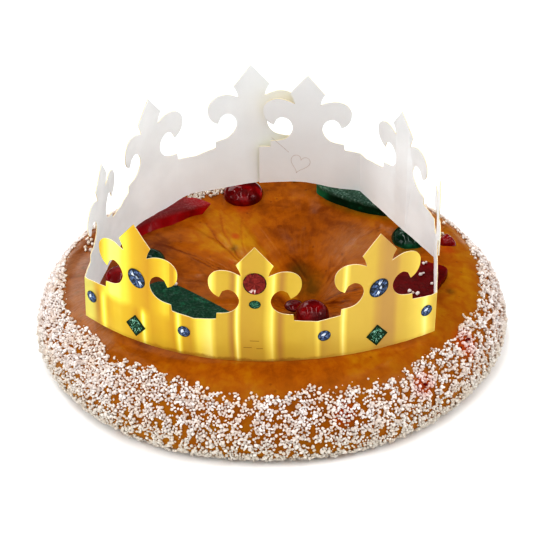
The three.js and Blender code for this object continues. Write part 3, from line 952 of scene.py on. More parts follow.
# Bumps of the foot on the left: middle along the strip, width, rise
FOOT_BUMPS = ((-239, 9, 1.8), (-215, 10, -2.2))


def walk_card(legs, sign, step):
    """Stations along one half of the strip, from the front: along, x, y, heading, crease."""
    x, y, heading = FRONT
    along = 0.0
    stations = []
    for length, bend, crease in legs:
        steps = round(length / step)
        stride = length / steps
        for _ in range(steps):
            heading += sign * bend / steps / 2
            along += sign * stride
            x += sign * stride * math.cos(math.radians(heading))
            y += sign * stride * math.sin(math.radians(heading))
            heading += sign * bend / steps / 2
            stations.append([along, x, y, heading, 0])
        stations[-1][3] += sign * crease / 2
        stations[-1][4] = crease
        heading += sign * crease
    return stations


class BentCard:
    """Where a point of the flat strip lies once the card is bent round the cake."""

    def __init__(self, step):
        left = walk_card(LEFT_WALK, -1, step)
        right = walk_card(RIGHT_WALK, 1, step)
        rows = np.array(left[::-1] + [[0, *FRONT, 0]] + right, float)
        self.along, x, y, heading, crease = rows.T
        heading = np.radians(heading)
        out = np.stack([np.sin(heading), -np.cos(heading), 0 * heading], 1)
        middles, leans, _ = zip(*LILIES)
        lean = np.radians(np.interp(self.along, middles, leans))
        upright = np.array([0, -CARD["tilt"], 1]) / math.hypot(1, CARD["tilt"])
        self.rise = upright * np.cos(lean)[:, None] + out * np.sin(lean)[:, None]
        self.out = out / np.cos(np.radians(crease / 2))[:, None]
        level = CARD["stands_at"] + CARD["tilt"] * (y - CARD["tilt_from"]) + CARD["gap"]
        self.foot = np.stack([x, y, level], 1)

    def place(self, along, up, out):
        def between(rows):
            return np.stack([np.interp(along, self.along, rows[:, k]) for k in range(3)], 1)
        up, out = np.asarray(up)[:, None], np.asarray(out)[:, None]
        return between(self.foot) + between(self.rise) * up + between(self.out) * out


def spline(points, steps):
    """Smooth line through points, sampled evenly between them."""
    points = np.array(points, float)
    result = []
    for i in range(steps + 1):
        at = (len(points) - 1) * i / steps
        k = min(int(at), len(points) - 2)
        t = at - k
        before, start, end, after = (points[min(max(k + d, 0), len(points) - 1)] for d in (-1, 0, 1, 2))
        pull_start, pull_end = (end - before) / 2, (after - start) / 2
        cubic = 2 * start - 2 * end + pull_start + pull_end
        square = -3 * start + 3 * end - 2 * pull_start - pull_end
        result.append(cubic * t ** 3 + square * t ** 2 + pull_start * t + start)
    return result


def lily_side(sign):
    """One half of a lily, from the step beside it up to the corner below its peak."""
    hook = spline([LILY["step"], *LILY["under_curl"]], 26)
    wing = spline([LILY["tip"], *LILY["wing"], LILY["neck"]], 28)
    crown = spline([LILY["neck"], LILY["waist"], LILY["corner"]], 6)[1:]
    return [(sign * across, up) for across, up in [LILY["step_foot"], *hook, *wing, *crown]]


def foot_rise(along):
    """How far the strip's lower edge is cut up at the lap and on the left."""
    past = (along + LAP["round"] if along < 0 else along) - LAP["middle"]
    rise = LAP["rise"] * bell(past, 0, LAP["before"] if past < 0 else LAP["after"])
    for middle, width, bump in FOOT_BUMPS:
        rise += bump * bell(along, middle, width)
    return rise


def strip_outline():
    """The flat strip's outline: the cut foot on the left, the lilies, the cut foot on the right."""
    left, right = STRIP_ENDS
    outline = [(s, foot_rise(s)) for s in FOOT_CUT[0]]
    outline += [(left, foot_rise(left)), (left, CARD["band"])]
    for i, (middle, _, width) in enumerate(LILIES):
        outline += [(middle + across * width, up) for across, up in lily_side(-1)]
        outline.append((middle, LILY["peak"]))
        outline += [(middle + across * width, up) for across, up in lily_side(1)[::-1]]
        if i < len(LILIES) - 1:
            between = (middle + LILIES[i + 1][0]) / 2
            outline.append((between, CARD["band"] - CARD["dip"]))
    outline += [(right, CARD["band"]), (right, foot_rise(right))]
    return outline + [(s, foot_rise(s)) for s in FOOT_CUT[1]]


def card_swell(along, up):
    """How far the card stands out: a faint ripple all along, and its foot tucked in at the right rear."""
    long_ripple = 0.10 * np.sin(along * 0.31) * np.sin(along * 0.083 + 1.0)
    ripple = long_ripple + 0.07 * np.sin(along * 0.73 + up * 0.02)
    across = np.sin(np.pi * np.clip((along - TUCK["start"]) / TUCK["length"], 0, 1)) ** 0.9
    return ripple - TUCK["depth"] * (across * np.clip(1 - up / TUCK["height"], 0, 1))


def model_crown(settings, card):
    """The crown: its outline cut along the folds, bent round the loaf, and given its thickness."""
    outline = strip_outline()
    bpy.ops.mesh.primitive_circle_add(vertices=len(outline), radius=0.1, fill_type="NGON")
    crown = added("crown_card")
    move_points(crown, [(along, up, 0) for along, up in outline[::-1]])
    left, right = STRIP_ENDS
    with editing(crown, "FACE"):
        for line in card.along:
            if left + 0.2 < line < right - 0.2:
                select_all()
                bpy.ops.mesh.bisect(plane_co=(line * MM, 0, 0), plane_no=(1, 0, 0))
        select_all()
        bpy.ops.mesh.quads_convert_to_tris()
    flat = points_of(crown)
    layer = crown.data.uv_layers.new(name="strip")
    corners = np.zeros(len(crown.data.loops), int)
    crown.data.loops.foreach_get("vertex_index", corners)
    layer.data.foreach_set("uv", (flat[corners, :2] * MM).ravel())
    along, up = flat[:, 0], flat[:, 1]
    move_points(crown, card.place(along, up, card_swell(along, up)))
    outward = np.array([f.normal for f in crown.data.polygons])
    centres = np.array([f.center for f in crown.data.polygons])
    if (outward[:, :2] * centres[:, :2]).sum() < 0:
        with editing(crown, "FACE"):
            select_all()
            bpy.ops.mesh.flip_normals()
    for material in (foil_finish(settings), card_finish(settings), edge_finish()):
        crown.data.materials.append(material)
    apply_modifier(crown, "SOLIDIFY", thickness=settings.thickness, offset=0, use_even_offset=True,
                   use_rim=True, material_offset=1, material_offset_rim=2)
    smooth(crown, 24)
    return crown


def painted_foil_glints(finish, along, up):
    """Painted reflections along the strip: named glints at the front, soft bands elsewhere."""
    def ramp_of(stops):
        start, end = stops[0][0], stops[-1][0]
        place = finish.spread(along, start * MM, end * MM, kind="LINEAR")
        return finish.ramp(place, [((s - start) / (end - start), tone) for s, tone in stops])
    front = ramp_of(GLINTS[0])
    for stops in GLINTS[1:]:
        front = finish.mix(finish.math("GREATER_THAN", along, stops[0][0] * MM), front, ramp_of(stops))
    lily = finish.times(finish.math("LESS_THAN", along, -46 * MM), finish.spread(up, 19 * MM, 27 * MM))
    front = finish.mix(lily, front, ramp_of(LEFT_LILY_GLINTS))
    reflected_bands = finish.add("ShaderNodeTexNoise", {"W": along, "Scale": 62.0, "Detail": 2.0},
                       noise_dimensions="1D")
    reflected_bands = finish.spread(reflected_bands, 0.25, 0.75, 0.12, 0.95)
    away = finish.math("GREATER_THAN", finish.math("ABSOLUTE", along), 0.149)
    return finish.mix(away, front, reflected_bands)


def foil_finish(settings):
    """Gold foil: toned along the strip by painted glints, warmer on the left, painted lighter near the
    foot and darker brown along it in the middle, with short strokes.
    """
    foil = Finish("gold_foil")
    strip = foil.add("ShaderNodeUVMap", uv_map="strip")
    along, up = foil.axis(strip, "X"), foil.axis(strip, "Y")
    sway = foil.times(foil.math("SINE", foil.times(up, 70.0)), 0.0006)
    tone = painted_foil_glints(foil, foil.plus(along, sway), up)
    shift = foil.times(foil.minus(foil.noise(strip, 0.02, 3), 0.5), 0.10)
    tone = foil.plus(tone, shift, clamp=True)
    # The tone is painted reflection, from dark brown bands to white gold glints
    gilt = foil.ramp(tone, (
        (0.0, (0.38, 0.19, 0.07)), (0.25, (0.46, 0.26, 0.06)), (0.5, settings.gold),
        (0.75, (0.80, 0.64, 0.12)), (1.0, (0.95, 0.93, 0.42)),
    ))
    warm = foil.ramp(tone, (
        (0.0, (0.36, 0.20, 0.04)), (0.25, (0.55, 0.31, 0.03)), (0.5, (0.65, 0.44, 0.036)),
        (0.75, (0.83, 0.72, 0.09)), (1.0, (0.92, 0.90, 0.36)),
    ))
    # Darker brown along the foot of the foil, in the middle
    uneven = foil.times(foil.noise(strip, 0.012, 4, 0.7), 0.007)
    dark_foot = foil.spread(foil.minus(up, uneven), -0.003, -0.0008, 0.6, 0.0)
    middle = foil.spread(foil.math("ABSOLUTE", foil.plus(along, 0.01)), 0.03, 0.07, 1.0, 0.25)
    colour = foil.layers(
        gilt,
        (foil.spread(along, -0.045, -0.02, 1.0, 0.0), warm),
        (foil.spread(along, -0.100, -0.094, 0.8, 0.0), (0.60, 0.57, 0.15)),
        (foil.spread(along, 0.015, 0.05, 0.0, 0.24), (0.78, 0.62, 0.19)),
        # Painted light: the foil is made lighter towards its foot, against the shade and the crust's
        # reflection there
        (foil.spread(up, 0.0, 0.012, 0.14, 0.0), (0.85, 0.70, 0.15)),
        (foil.times(dark_foot, middle), (0.30, 0.11, 0.014)),
    )
    for level, start, end in STROKES:
        line = foil.spread(foil.math("ABSOLUTE", foil.minus(up, level)), 0.00012, 0.00035, 0.6, 0.0)
        inside = foil.times(foil.math("GREATER_THAN", along, start), foil.math("LESS_THAN", along, end))
        colour = foil.mix(foil.times(line, inside), colour, (0.16, 0.08, 0.02))
    grain = foil.noise(strip, 0.0005, 2)
    scratches = foil.add("ShaderNodeMapping", {"Vector": strip, "Scale": (0.05, 1.0, 1.0)})
    lines = foil.noise(scratches, 0.0006, 3)
    height = foil.plus(foil.times(grain, 0.4), foil.times(lines, 0.6))
    return foil.shade(
        Base_Color=colour, Metallic=0.16, Specular_IOR_Level=0.15, Roughness=0.3,
        Normal=foil.bump(height, 0.00006, 0.4),
    )


def card_finish(settings):
    """Bare card: pale and fibrous, with painted light that makes it a little whiter in front than at the
    back.
    """
    card = Finish("bare_card")
    strip = card.add("ShaderNodeUVMap", uv_map="strip")
    fibre = card.noise(strip, 0.0012, 5, 0.7)
    cloud = card.noise(strip, 0.03, 3)
    # Painted light: the card is made whiter in front than at the back
    front = card.spread(card.math("ABSOLUTE", card.axis(strip, "X")), 0.20, 0.26, 1.0, 0.0)
    colour = card.layers(
        settings.card,
        (front, tuple(min(1, 1.14 * c) for c in settings.card)),
        (card.spread(cloud, 0.3, 0.7, 0.0, 0.5), scaled(settings.card, 0.93)),
        (card.times(fibre, 0.12), scaled(settings.card, 0.8)),
    )
    return card.shade(Base_Color=colour, Roughness=0.62, Specular_IOR_Level=0.35,
                      Normal=card.bump(fibre, 0.00008, 0.4))


def fibrous_finish(name, size, *stops, **sockets):
    """Plain dull card or paper whose tint varies with its fibres."""
    finish = Finish(name)
    tint = finish.ramp(finish.noise(finish.place(), size), stops)
    return finish.shade(Base_Color=tint, **{"Roughness": 0.8, **sockets})


def edge_finish():
    return fibrous_finish("card_edge", 0.0006, (0.2, (0.60, 0.50, 0.30)), (0.8, (0.76, 0.67, 0.48)))


def heart_line():
    """The heart's outline, flat on the strip."""
    line = []
    for i in range(HEART_STEPS + 1):
        turn = i / HEART_STEPS * FULL_TURN
        x = 16 * math.sin(turn) ** 3
        y = 13 * math.cos(turn) - 5 * math.cos(2 * turn) - 2 * math.cos(3 * turn) - math.cos(4 * turn)
        line.append((HEART_MIDDLE[0] - 0.36 * x * 0.95 - 0.12 * y, HEART_MIDDLE[1] + 0.42 * y - 0.1 * x))
    return line


def model_score_shade(name, line, card):
    """A thin grey ribbon of painted shade along a line of the strip, just inside the card's inner face."""
    bpy.ops.mesh.primitive_plane_add(size=1 * MM)
    ribbon = added(name)
    move_points(ribbon, [(0, 0, 0), (RUNG, 0, 0), (0, RUNG, 0), (RUNG, RUNG, 0)])
    with editing(ribbon, "EDGE"):
        pick(ribbon, edges=lambda e: sorted(e.vertices) == [2, 3])
        for _ in range(len(line) - 2):
            bpy.ops.mesh.extrude_edges_move(TRANSFORM_OT_translate={"value": (0, RUNG * MM, 0)})
    rungs = points_of(ribbon)
    order = np.rint(rungs[:, 1] / RUNG).astype(int)
    path = np.array(line)
    heading = np.gradient(path, axis=0)
    heading /= np.linalg.norm(heading, axis=1, keepdims=True)
    sideways = np.stack([-heading[:, 1], heading[:, 0]], 1)
    side = np.where(rungs[:, 0] > RUNG / 2, 1, -1)[:, None]
    flat = path[order] + sideways[order] * side * SCORE_WIDTH / 2
    inner = -CARD["thickness"] / 2 - 0.06
    move_points(ribbon, card.place(flat[:, 0], flat[:, 1], np.full(len(flat), inner)))
    return ribbon


class KC_OT_crown(bpy.types.Operator):
    """Cut, bend and gild the card crown"""
    bl_idname = "king_cake.crown"
    bl_label = "Card crown"

    def execute(self, context):
        settings = context.scene.kc_crown
        card = BentCard(settings.fold_step / MM)
        crown = model_crown(settings, card)
        dress(crown, [], ["paper_crown"])
        scores = [model_score_shade(f"score_{i}", line, card) for i, line in enumerate((heart_line(), NICK))]
        # Painted shade: grey for the shade in the cut lines
        shadow = fibrous_finish(
            "score_shade_line", 0.002, (0.3, (0.55, 0.52, 0.49)), (0.7, (0.68, 0.65, 0.62)))
        dress(join(scores, "card_score_shades"), [shadow])
        return {"FINISHED"}


# ---------------------------------------------------------------- gems printed on the crown

# Cuts of the round gems: corners, width, height, sizes of the rings of facets, the facets' tones,
# glints (place and reach, as shares of the gem), seed
GEM_CUTS = {
    "ruby": (20, 12.5, 15.0, (0.9, 0.6), (0.36, 0.46, 0.52, 0.6), ((-0.12, -0.62, 0.22),), 3),
    "drop": (14, 6.4, 5.8, (0.84, 0.6), (0.2, 0.3, 0.6, 0.8), (), 5),
    "sapphire": (20, 10.4, 12.8, (0.84, 0.66, 0.44), (0.05, 0.2, 0.35, 0.5, 0.7),
                 ((-0.2, 0.5, 0.17), (0.1, 0.05, 0.13), (0.25, -0.5, 0.17)), 8),
    "dot": (14, 7.2, 7.4, (0.82, 0.6), (0.25, 0.4, 0.55, 0.7), ((-0.05, 0.05, 0.3),), 9),
}
# Cut of the lozenge: width, height, seed
SQUARE_CUT = (12.6, 14.8, 11)
# The joined prints: finish, where each cut lies, colours by tone
GEM_PRINTS = {
    "gems_red": ("printed_ruby", {"ruby": RED_GEMS}, (
        (0.0, (0.045, 0.022, 0.010)), (0.25, (0.095, 0.012, 0.010)), (0.5, (0.22, 0.026, 0.020)),
        (0.85, (0.34, 0.06, 0.05)), (1.0, (0.70, 0.55, 0.52)))),
    "gems_green": ("printed_emerald", {"drop": GREEN_DROPS, "square": GREEN_SQUARES}, (
        (0.0, (0.016, 0.034, 0.010)), (0.25, (0.010, 0.036, 0.020)), (0.5, (0.020, 0.08, 0.045)),
        (0.85, (0.08, 0.25, 0.17)), (1.0, (0.28, 0.50, 0.40)))),
    "gems_blue": ("printed_sapphire", {"sapphire": BLUE_GEMS, "dot": BLUE_DOTS}, (
        (0.0, (0.030, 0.032, 0.030)), (0.25, (0.025, 0.038, 0.07)), (0.5, (0.07, 0.11, 0.20)),
        (0.8, (0.17, 0.25, 0.44)), (1.0, (0.66, 0.73, 0.82)))),
}


def model_gem(name, corners, width, height, rings, tones, glints, seed):
    """A flat faceted gem: a dark rim, then rings of facets round a poked table."""
    bpy.ops.mesh.primitive_circle_add(vertices=corners, radius=1 * MM, fill_type="NGON")
    gem = added(name)
    with editing(gem, "FACE"):
        for size in rings:
            pick(gem, faces=lambda f: len(f.vertices) == corners)
            bpy.ops.mesh.extrude_region_move()
            bpy.ops.transform.resize(value=(size, size, 1), center_override=(0, 0, 0))
        bpy.ops.mesh.poke()
        select_all()
        bpy.ops.mesh.quads_convert_to_tris()
    points = points_of(gem)
    reach = np.linalg.norm(points[:, :2], axis=1)
    turn = np.where((reach < 0.86) & (reach > 0.3), math.pi / corners, 0)
    x, y = swung(points[:, 0], points[:, 1], turn)
    turned = np.stack([x, y, 0.05 + 0.3 * np.clip(1 - reach, 0, 0.45)], 1)
    rng = random.Random(seed)
    values = np.zeros(len(gem.data.polygons))
    for facet, index in steady_faces(gem):
        middle = turned[facet, :2].mean(axis=0)
        if reach[facet].mean() < 0.93:
            values[index] = rng.choice(tones) + rng.uniform(-0.05, 0.05)
        if any(math.hypot(middle[0] - x, middle[1] - y) < size for x, y, size in glints):
            values[index] = 1.0
    paint_faces(gem, "tone", values)
    move_points(gem, turned * (width / 2, height / 2, 1))
    return gem


def model_square_gem(name, width, height, seed):
    """A lozenge cut into a lattice of small facets inside a dark rim."""
    bpy.ops.mesh.primitive_grid_add(x_subdivisions=8, y_subdivisions=8, size=2 * MM)
    gem = added(name)
    with editing(gem, "FACE"):
        select_all()
        bpy.ops.mesh.poke()
    points = points_of(gem)
    rng = random.Random(seed)
    edge = np.abs(points[:, :2]).max(axis=1)
    values = np.zeros(len(gem.data.polygons))
    for facet, index in steady_faces(gem):
        rim = edge[facet].mean() > 0.86
        values[index] = rng.uniform(0.0, 0.1) if rim else rng.choice((0.1, 0.2, 0.35, 0.5, 0.8, 1.0))
    paint_faces(gem, "tone", values)
    inside = edge < 0.9
    jitter = np.array([[rng.uniform(-0.07, 0.07), rng.uniform(-0.07, 0.07)] for _ in points])
    points[:, :2] += jitter * inside[:, None]
    lozenge = np.stack([(points[:, 0] - points[:, 1]) / 2, (points[:, 0] + points[:, 1]) / 2], 1)
    relief = 0.05 + 0.12 * inside * (0.4 + 0.6 * np.abs(jitter[:, 0]) / 0.07)
    move_points(gem, np.column_stack([lozenge * (width / 2, height / 2), relief]))
    return gem


def paint_faces(piece, name, values):
    layer = piece.data.attributes.new(name, "FLOAT", "FACE")
    layer.data.foreach_set("value", np.asarray(values, np.float32))


def set_gems(pattern, places, card, name):
    """Copies a gem to each place on the strip and bends it on."""
    copies = []
    flat = points_of(pattern)
    for i, (along, up, turn) in enumerate(places):
        copy = twin(pattern, f"{name}_{i}")
        x, y = swung(flat[:, 0], flat[:, 1], math.radians(turn))
        move_points(copy, card.place(along + x, up + y, CARD["thickness"] / 2 + 0.08 + flat[:, 2]))
        copies.append(copy)
    return copies


def gem_finish(name, stops):
    finish = Finish(name)
    tone = finish.value("tone")
    speckle = finish.noise(finish.place(), 0.0012, 3)
    tone = finish.plus(tone, finish.spread(speckle, 0.3, 0.7, -0.07, 0.07), clamp=True)
    return finish.shade(Base_Color=finish.ramp(tone, stops), Roughness=0.4, Specular_IOR_Level=0.05,
                        Coat_Weight=0.12, Coat_Roughness=0.1)


class KC_OT_gems(bpy.types.Operator):
    """Cut the gems of the print once each and lay them on the foil"""
    bl_idname = "king_cake.gems"
    bl_label = "Printed gems"

    def execute(self, context):
        card = BentCard(context.scene.kc_crown.fold_step / MM)
        patterns = {name: model_gem(name, *cut) for name, cut in GEM_CUTS.items()}
        patterns["square"] = model_square_gem("square", *SQUARE_CUT)
        for name, (finish, places, stops) in GEM_PRINTS.items():
            copies = []
            for kind, spots in places.items():
                copies += set_gems(patterns[kind], spots, card, kind)
            dress(join(copies, name), [gem_finish(finish, stops)])
        for pattern in patterns.values():
            bpy.data.objects.remove(pattern)
        return {"FINISHED"}


# ---------------------------------------------------------------- pearl sugar

def crust_samples(loaf, count, rng):
    """Random points on the crust with their normals."""
    points, corners = points_of(loaf), triangles_of(loaf)
    normals = normals_of(points, corners)
    a, b, c = (points[corners[:, k]] for k in range(3))
    areas = np.linalg.norm(np.cross(b - a, c - a), axis=1)
    outer = np.hypot(a[:, 0], a[:, 1]) > 0.65 * RADIUS
    areas = areas * outer * (a[:, 2] > 0.8)
    chosen = rng.choice(len(areas), count, p=areas / areas.sum())
    u, v = rng.random(count), rng.random(count)
    over = u + v > 1
    u, v = np.where(over, 1 - u, u)[:, None], np.where(over, 1 - v, v)[:, None]
    position = a[chosen] + u * (b - a)[chosen] + v * (c - a)[chosen]
    direction = normals[corners[chosen, 0]]
    return position, direction


def past_edge(points):
    """How far outside the sugar's inner edge each point lies, as a share of the loaf's radius."""
    angle = np.arctan2(points[:, 1], points[:, 0])
    share = np.hypot(points[:, 0], points[:, 1]) / loaf_radius(angle)
    return share - np.interp(np.degrees(angle), *zip(*SUGAR_EDGE))


def sugar_chance(points):
    """How likely the crust carries sugar at each point."""
    degrees = np.degrees(np.arctan2(points[:, 1], points[:, 0]))
    rough = 0.012 * fractal(points, 4.0, 3, 31)
    cover = smoothly(-0.012, 0.006, past_edge(points) + 0.012 + rough)
    cover = np.where(points[:, 2] > SUGARED_SIDE, cover, 1)
    denser = 0.3 * towards(degrees, -155, 45) * smoothly(14, 30, points[:, 2])
    clumps = smoothly(-0.10, 0.24, fractal(points, 4.6, 3, 33) + 0.05 + denser)
    for direction, height, size in BALD:
        turn = math.radians(direction)
        middle = np.array([loaf_radius(turn) * math.cos(turn), loaf_radius(turn) * math.sin(turn), height])
        away = np.linalg.norm((points - middle) * (1, 1, 1.1), axis=1)
        clumps = clumps * smoothly(0.3 * size, 0.8 * size, away)
    return cover * (0.05 + 0.95 * clumps)


def spaced(points, sizes, least):
    """Keeps the points that are not too close to one kept before."""
    cell = 3.0
    steps = [(dx, dy, dz) for dx in (-1, 0, 1) for dy in (-1, 0, 1) for dz in (-1, 0, 1)]
    grid = {}
    kept = []
    for i, point in enumerate(points):
        x, y, z = (point // cell).astype(int)
        near = [j for dx, dy, dz in steps for j in grid.get((x + dx, y + dy, z + dz), ())]
        if near:
            away = np.linalg.norm(points[near] - point, axis=1)
            if (away < least * (sizes[i] + sizes[near]) / 2).any():
                continue
        grid.setdefault((x, y, z), []).append(i)
        kept.append(i)
    return kept


def model_nib(seed):
    """One nib of pearl sugar: a faceted ball, knocked out of true."""
    bpy.ops.mesh.primitive_ico_sphere_add(subdivisions=1, radius=0.55 * MM)
    nib = added(f"nib_{seed}")
    rng = np.random.default_rng(seed)
    points = points_of(nib)
    points = points * rng.uniform(0.75, 1.2, 3) + rng.uniform(-0.10, 0.10, points.shape)
    nib.data.calc_loop_triangles()
    faces = np.array([t.vertices[:] for t in nib.data.loop_triangles])
    bpy.data.objects.remove(nib)
    return points, faces


def scatter(name, shapes, positions, normals, sizes, sink, rng):
    """One joined mesh of many small grains, each turned its own way."""
    box_low, box_high = (np.array(corner) / MM for corner in CAD_BOX)
    all_points, all_faces, tones, count = [], [], [], 0
    for i, position in enumerate(positions):
        shape, faces = shapes[i % len(shapes)]
        quaternion = rng.normal(size=4)
        w, x, y, z = quaternion / np.linalg.norm(quaternion)
        turn = np.array([
            [1 - 2 * (y * y + z * z), 2 * (x * y - w * z), 2 * (x * z + w * y)],
            [2 * (x * y + w * z), 1 - 2 * (x * x + z * z), 2 * (y * z - w * x)],
            [2 * (x * z - w * y), 2 * (y * z + w * x), 1 - 2 * (x * x + y * y)],
        ])
        grain = shape @ turn.T * sizes[i] + position + normals[i] * sizes[i] * sink
        grain += np.maximum(box_low - grain.min(0), 0) + np.minimum(box_high - grain.max(0), 0)
        all_points.append(grain)
        all_faces.append(faces + count)
        tones += [rng.random()] * len(shape)
        count += len(shape)
    mesh = bpy.data.meshes.new(name)
    mesh.from_pydata(np.concatenate(all_points) * MM, [], np.concatenate(all_faces))
    mesh.shade_smooth()
    mesh.update()
    piece = bpy.data.objects.new(name, mesh)
    bpy.context.scene.collection.objects.link(piece)
    paint_values(piece, "tone", tones)
    return piece


def sugar_finish(settings):
    finish = Finish("pearl_sugar")
    place = finish.place()
    grain = finish.noise(place, 0.0007, 4, 0.6)
    patch = finish.noise(place, 0.014, 2)
    white = settings.white
    colour = finish.ramp(finish.value("tone"), (
        (0.0, scaled(white, 0.70, 0.60, 0.54)), (0.3, scaled(white, 0.88, 0.83, 0.80)),
        (0.75, white), (1.0, (0.88, 0.85, 0.84)),
    ))
    colour = finish.layers(
        colour,
        (finish.spread(patch, 0.4, 0.75, 0.0, 0.6), scaled(white, 0.93, 0.80, 0.68)),
        # Painted shade: the nibs are darker and yellower towards the table
        (finish.spread(finish.axis(place, "Z"), 0.004, 0.03, 0.6, 0.0), scaled(white, 0.84, 0.85, 0.74)),
        (finish.times(stain_node(finish, place, PINK_SPOTS, 0.011), 0.3), (0.80, 0.36, 0.34)),
    )
    return finish.shade(Base_Color=colour, Roughness=0.55, Normal=finish.bump(grain, 0.0002, 0.5),
                        Specular_IOR_Level=0.4)


def stain_node(finish, place, centres, radius):
    """1 near any of the centres, fading out to 0 at the radius."""
    most = None
    for centre in centres:
        away = finish.add("ShaderNodeVectorMath", {0: place, 1: centre}, out="Value", operation="DISTANCE")
        spot = finish.spread(away, 0.35 * radius, radius, 1.0, 0.0)
        most = spot if most is None else finish.math("MAXIMUM", most, spot)
    return most


def nib_places(loaf, settings, rng):
    """Where the nibs lie: apart from one another, and heaped a little where they cluster."""
    points, normals = crust_samples(loaf, SUGAR_TRIES, rng)
    taken = rng.random(len(points)) < sugar_chance(points)
    points, normals = points[taken], normals[taken]
    small, large = settings.smallest / MM, settings.largest / MM
    sizes = small + (large - small) * rng.random(len(points)) ** 1.6
    heap = 0.9 * rng.random(len(points)) * smoothly(0.0, 0.5, fractal(points, 4.2, 3, 33))
    points = points + normals * heap[:, None]
    kept = spaced(points, sizes, NIB_SPACING)[:settings.nibs]
    return points[kept], normals[kept], sizes[kept]


def crumb_places(loaf, rng):
    """Where the crumbs lie: thickest among the nibs, sparse elsewhere, with a few strays on top."""
    points, normals = crust_samples(loaf, CRUMB_TRIES, rng)
    chance = sugar_chance(points)
    taken = rng.random(len(points)) < 0.12 + 0.5 * chance * (chance > 0.02)
    taken &= (past_edge(points) > -0.03) | (points[:, 2] < SUGARED_SIDE)
    points, normals = points[taken][:CRUMBS], normals[taken][:CRUMBS]
    sizes = 0.35 + 0.5 * rng.random(len(points))
    stray = np.array(STRAY_SUGAR)
    upright = np.tile((0, 0, 1), (len(stray), 1))
    return (np.concatenate([points, stray[:, :3]]), np.concatenate([normals, upright]),
            np.concatenate([sizes, stray[:, 3]]))


class KC_OT_sugar(bpy.types.Operator):
    """Strew pearl sugar round the side of the loaf"""
    bl_idname = "king_cake.sugar"
    bl_label = "Pearl sugar"

    def execute(self, context):
        settings = context.scene.kc_sugar
        loaf = bpy.data.objects.get("brioche_crust")
        if loaf is None:
            raise RuntimeError("the sugar needs the loaf: run the loaf's operator first")
        rng = np.random.default_rng(SEED)
        finish = sugar_finish(settings)
        shapes = [model_nib(seed) for seed in range(NIB_SHAPES)]
        nibs = nib_places(loaf, settings, rng)
        for letter, *part in zip("abc", *(np.array_split(values, 3) for values in nibs)):
            piece = scatter(f"pearl_sugar_{letter}", shapes, *part, NIB_STAND, rng)
            dress(piece, [finish])
        dust = scatter("sugar_crumbs", shapes, *crumb_places(loaf, rng), CRUMB_STAND, rng)
        dress(dust, [finish])
        return {"FINISHED"}


# ---------------------------------------------------------------- stage

# Softboxes: the setting of their power, how many times it, size, place and aim, in metres
SOFTBOXES = {
    "strip_0": ("strips", 1, (0.12, 2.0), (-0.9, -0.15, 1.7), (-0.9, -0.15, 0)),
    "strip_1": ("strips", 1, (0.12, 2.0), (-0.1, -0.15, 1.7), (-0.1, -0.15, 0)),
    "strip_2": ("strips", 1, (0.12, 2.0), (0.7, -0.15, 1.7), (0.7, -0.15, 0)),
    "overhead": ("top", 1, (2.0, 1.8), (-0.1, -0.25, 1.8), (0, 0, 0)),
    "front": ("key", 1, (2.8, 1.6), (-0.1, -1.7, 1.7), (0, 0, 0.03)),
    "left": ("fill", 1, (0.9, 1.1), (-1.9, -0.6, 1.1), (0, 0, 0.05)),
    "right": ("fill", 1.4, (0.9, 1.1), (1.8, -0.4, 1.2), (0, 0, 0.05)),
    "window": ("window", 1, (0.14, 1.1), (-1.0, -1.3, 1.15), (0, 0, 0.04)),
    "back_left": ("glare", 1, (1.5, 1.2), (-0.97, 1.56, 1.38), (-0.08, 0, 0.04)),
}
CREAM, WHITE = (1, 0.995, 0.985, 1), (1, 1, 1, 1)


def add_softbox(name, power, size, place, aim):
    bpy.ops.object.light_add(type="AREA", location=place)
    light = bpy.context.object
    light.name = name
    light.data.energy = power
    light.data.shape = "RECTANGLE"
    light.data.size, light.data.size_y = size
    light.rotation_euler = (Vector(aim) - Vector(place)).to_track_quat("-Z", "Y").to_euler()


def studio_world(strength):
    """White walls for the camera, a soft surround for light, and a dimmer one for reflections."""
    world = bpy.data.worlds.new("studio")
    world.use_nodes = True
    tree = world.node_tree
    tree.nodes.clear()
    seen = tree.nodes.new("ShaderNodeLightPath")

    def background(colour, power):
        node = tree.nodes.new("ShaderNodeBackground")
        node.inputs["Color"].default_value = colour
        node.inputs["Strength"].default_value = power
        return node.outputs[0]

    def unless(ray, usual, special):
        node = tree.nodes.new("ShaderNodeMixShader")
        for socket, source in zip(node.inputs, (seen.outputs[ray], usual, special)):
            tree.links.new(source, socket)
        return node.outputs[0]

    lit = unless("Is Glossy Ray", background(CREAM, strength), background(CREAM, 0.35 * strength))
    output = tree.nodes.new("ShaderNodeOutputWorld")
    tree.links.new(unless("Is Camera Ray", lit, background(WHITE, 1.0)), output.inputs["Surface"])
    return world


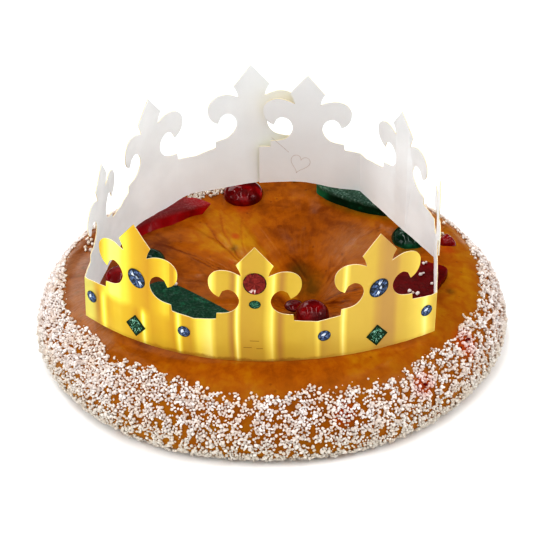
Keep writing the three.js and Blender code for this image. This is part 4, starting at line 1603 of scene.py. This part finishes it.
class KC_OT_stage(bpy.types.Operator):
    """Lay a white table, light it softly and set the camera"""
    bl_idname = "king_cake.stage"
    bl_label = "Stage"

    def execute(self, context):
        settings = context.scene.kc_stage
        deselect()
        bpy.ops.mesh.primitive_plane_add(size=8, location=(0, 0, 0))
        table = added("white_table")
        table.data.materials.append(fibrous_finish(
            "white_paper", 0.4, (0.0, (0.93, 0.93, 0.93)), (1.0, (0.96, 0.96, 0.96)),
            Roughness=0.9, Specular_IOR_Level=0.0, Emission_Color=WHITE, Emission_Strength=0.03))
        context.scene.world = studio_world(settings.surround)
        for name, (setting, times, size, place, target) in SOFTBOXES.items():
            add_softbox(name, times * getattr(settings, setting), size, place, target)
        aim = Vector((-1.1, 8.5, 40)) * MM
        rise = settings.elevation
        back = Vector((0, -math.cos(rise), math.sin(rise))) * settings.distance
        bpy.ops.object.camera_add(location=aim + back, rotation=(math.pi / 2 - rise, 0, 0))
        camera = context.object
        camera.name = "camera"
        camera.data.lens = settings.lens
        camera.data.sensor_width = 36
        camera.data.clip_end = 50
        context.scene.camera = camera
        context.scene.view_settings.view_transform = "Standard"
        context.scene.view_settings.look = "High Contrast"
        return {"FINISHED"}


class KC_PT_panel(bpy.types.Panel):
    """Lists the steps that make the cake"""
    bl_idname = "KC_PT_panel"
    bl_label = "King Cake"
    bl_space_type = "VIEW_3D"
    bl_region_type = "UI"
    bl_category = "King Cake"

    def draw(self, context):
        for operator, group in STEPS:
            box = self.layout.box()
            box.operator(operator.bl_idname)
            if group:
                settings = getattr(context.scene, group)
                for name in settings.bl_rna.properties.keys():
                    if name not in ("rna_type", "name"):
                        box.prop(settings, name)


STEPS = (
    (KC_OT_loaf, "kc_loaf"), (KC_OT_fruit, "kc_fruit"), (KC_OT_crown, "kc_crown"),
    (KC_OT_gems, None), (KC_OT_sugar, "kc_sugar"), (KC_OT_stage, "kc_stage"),
)
GROUPS = {
    "kc_loaf": LoafSettings, "kc_fruit": FruitSettings, "kc_crown": CrownSettings,
    "kc_sugar": SugarSettings, "kc_stage": StageSettings,
}
CLASSES = (*GROUPS.values(), *(operator for operator, group in STEPS), KC_PT_panel)


def register():
    for cls in CLASSES:
        bpy.utils.register_class(cls)
    for name, group in GROUPS.items():
        setattr(bpy.types.Scene, name, PointerProperty(type=group))


def unregister():
    for name in GROUPS:
        delattr(bpy.types.Scene, name)
    for cls in reversed(CLASSES):
        bpy.utils.unregister_class(cls)


def main():
    register()
    for operator, _ in STEPS:
        package, name = operator.bl_idname.split(".")
        getattr(getattr(bpy.ops, package), name)()


if __name__ == "__main__":
    main()
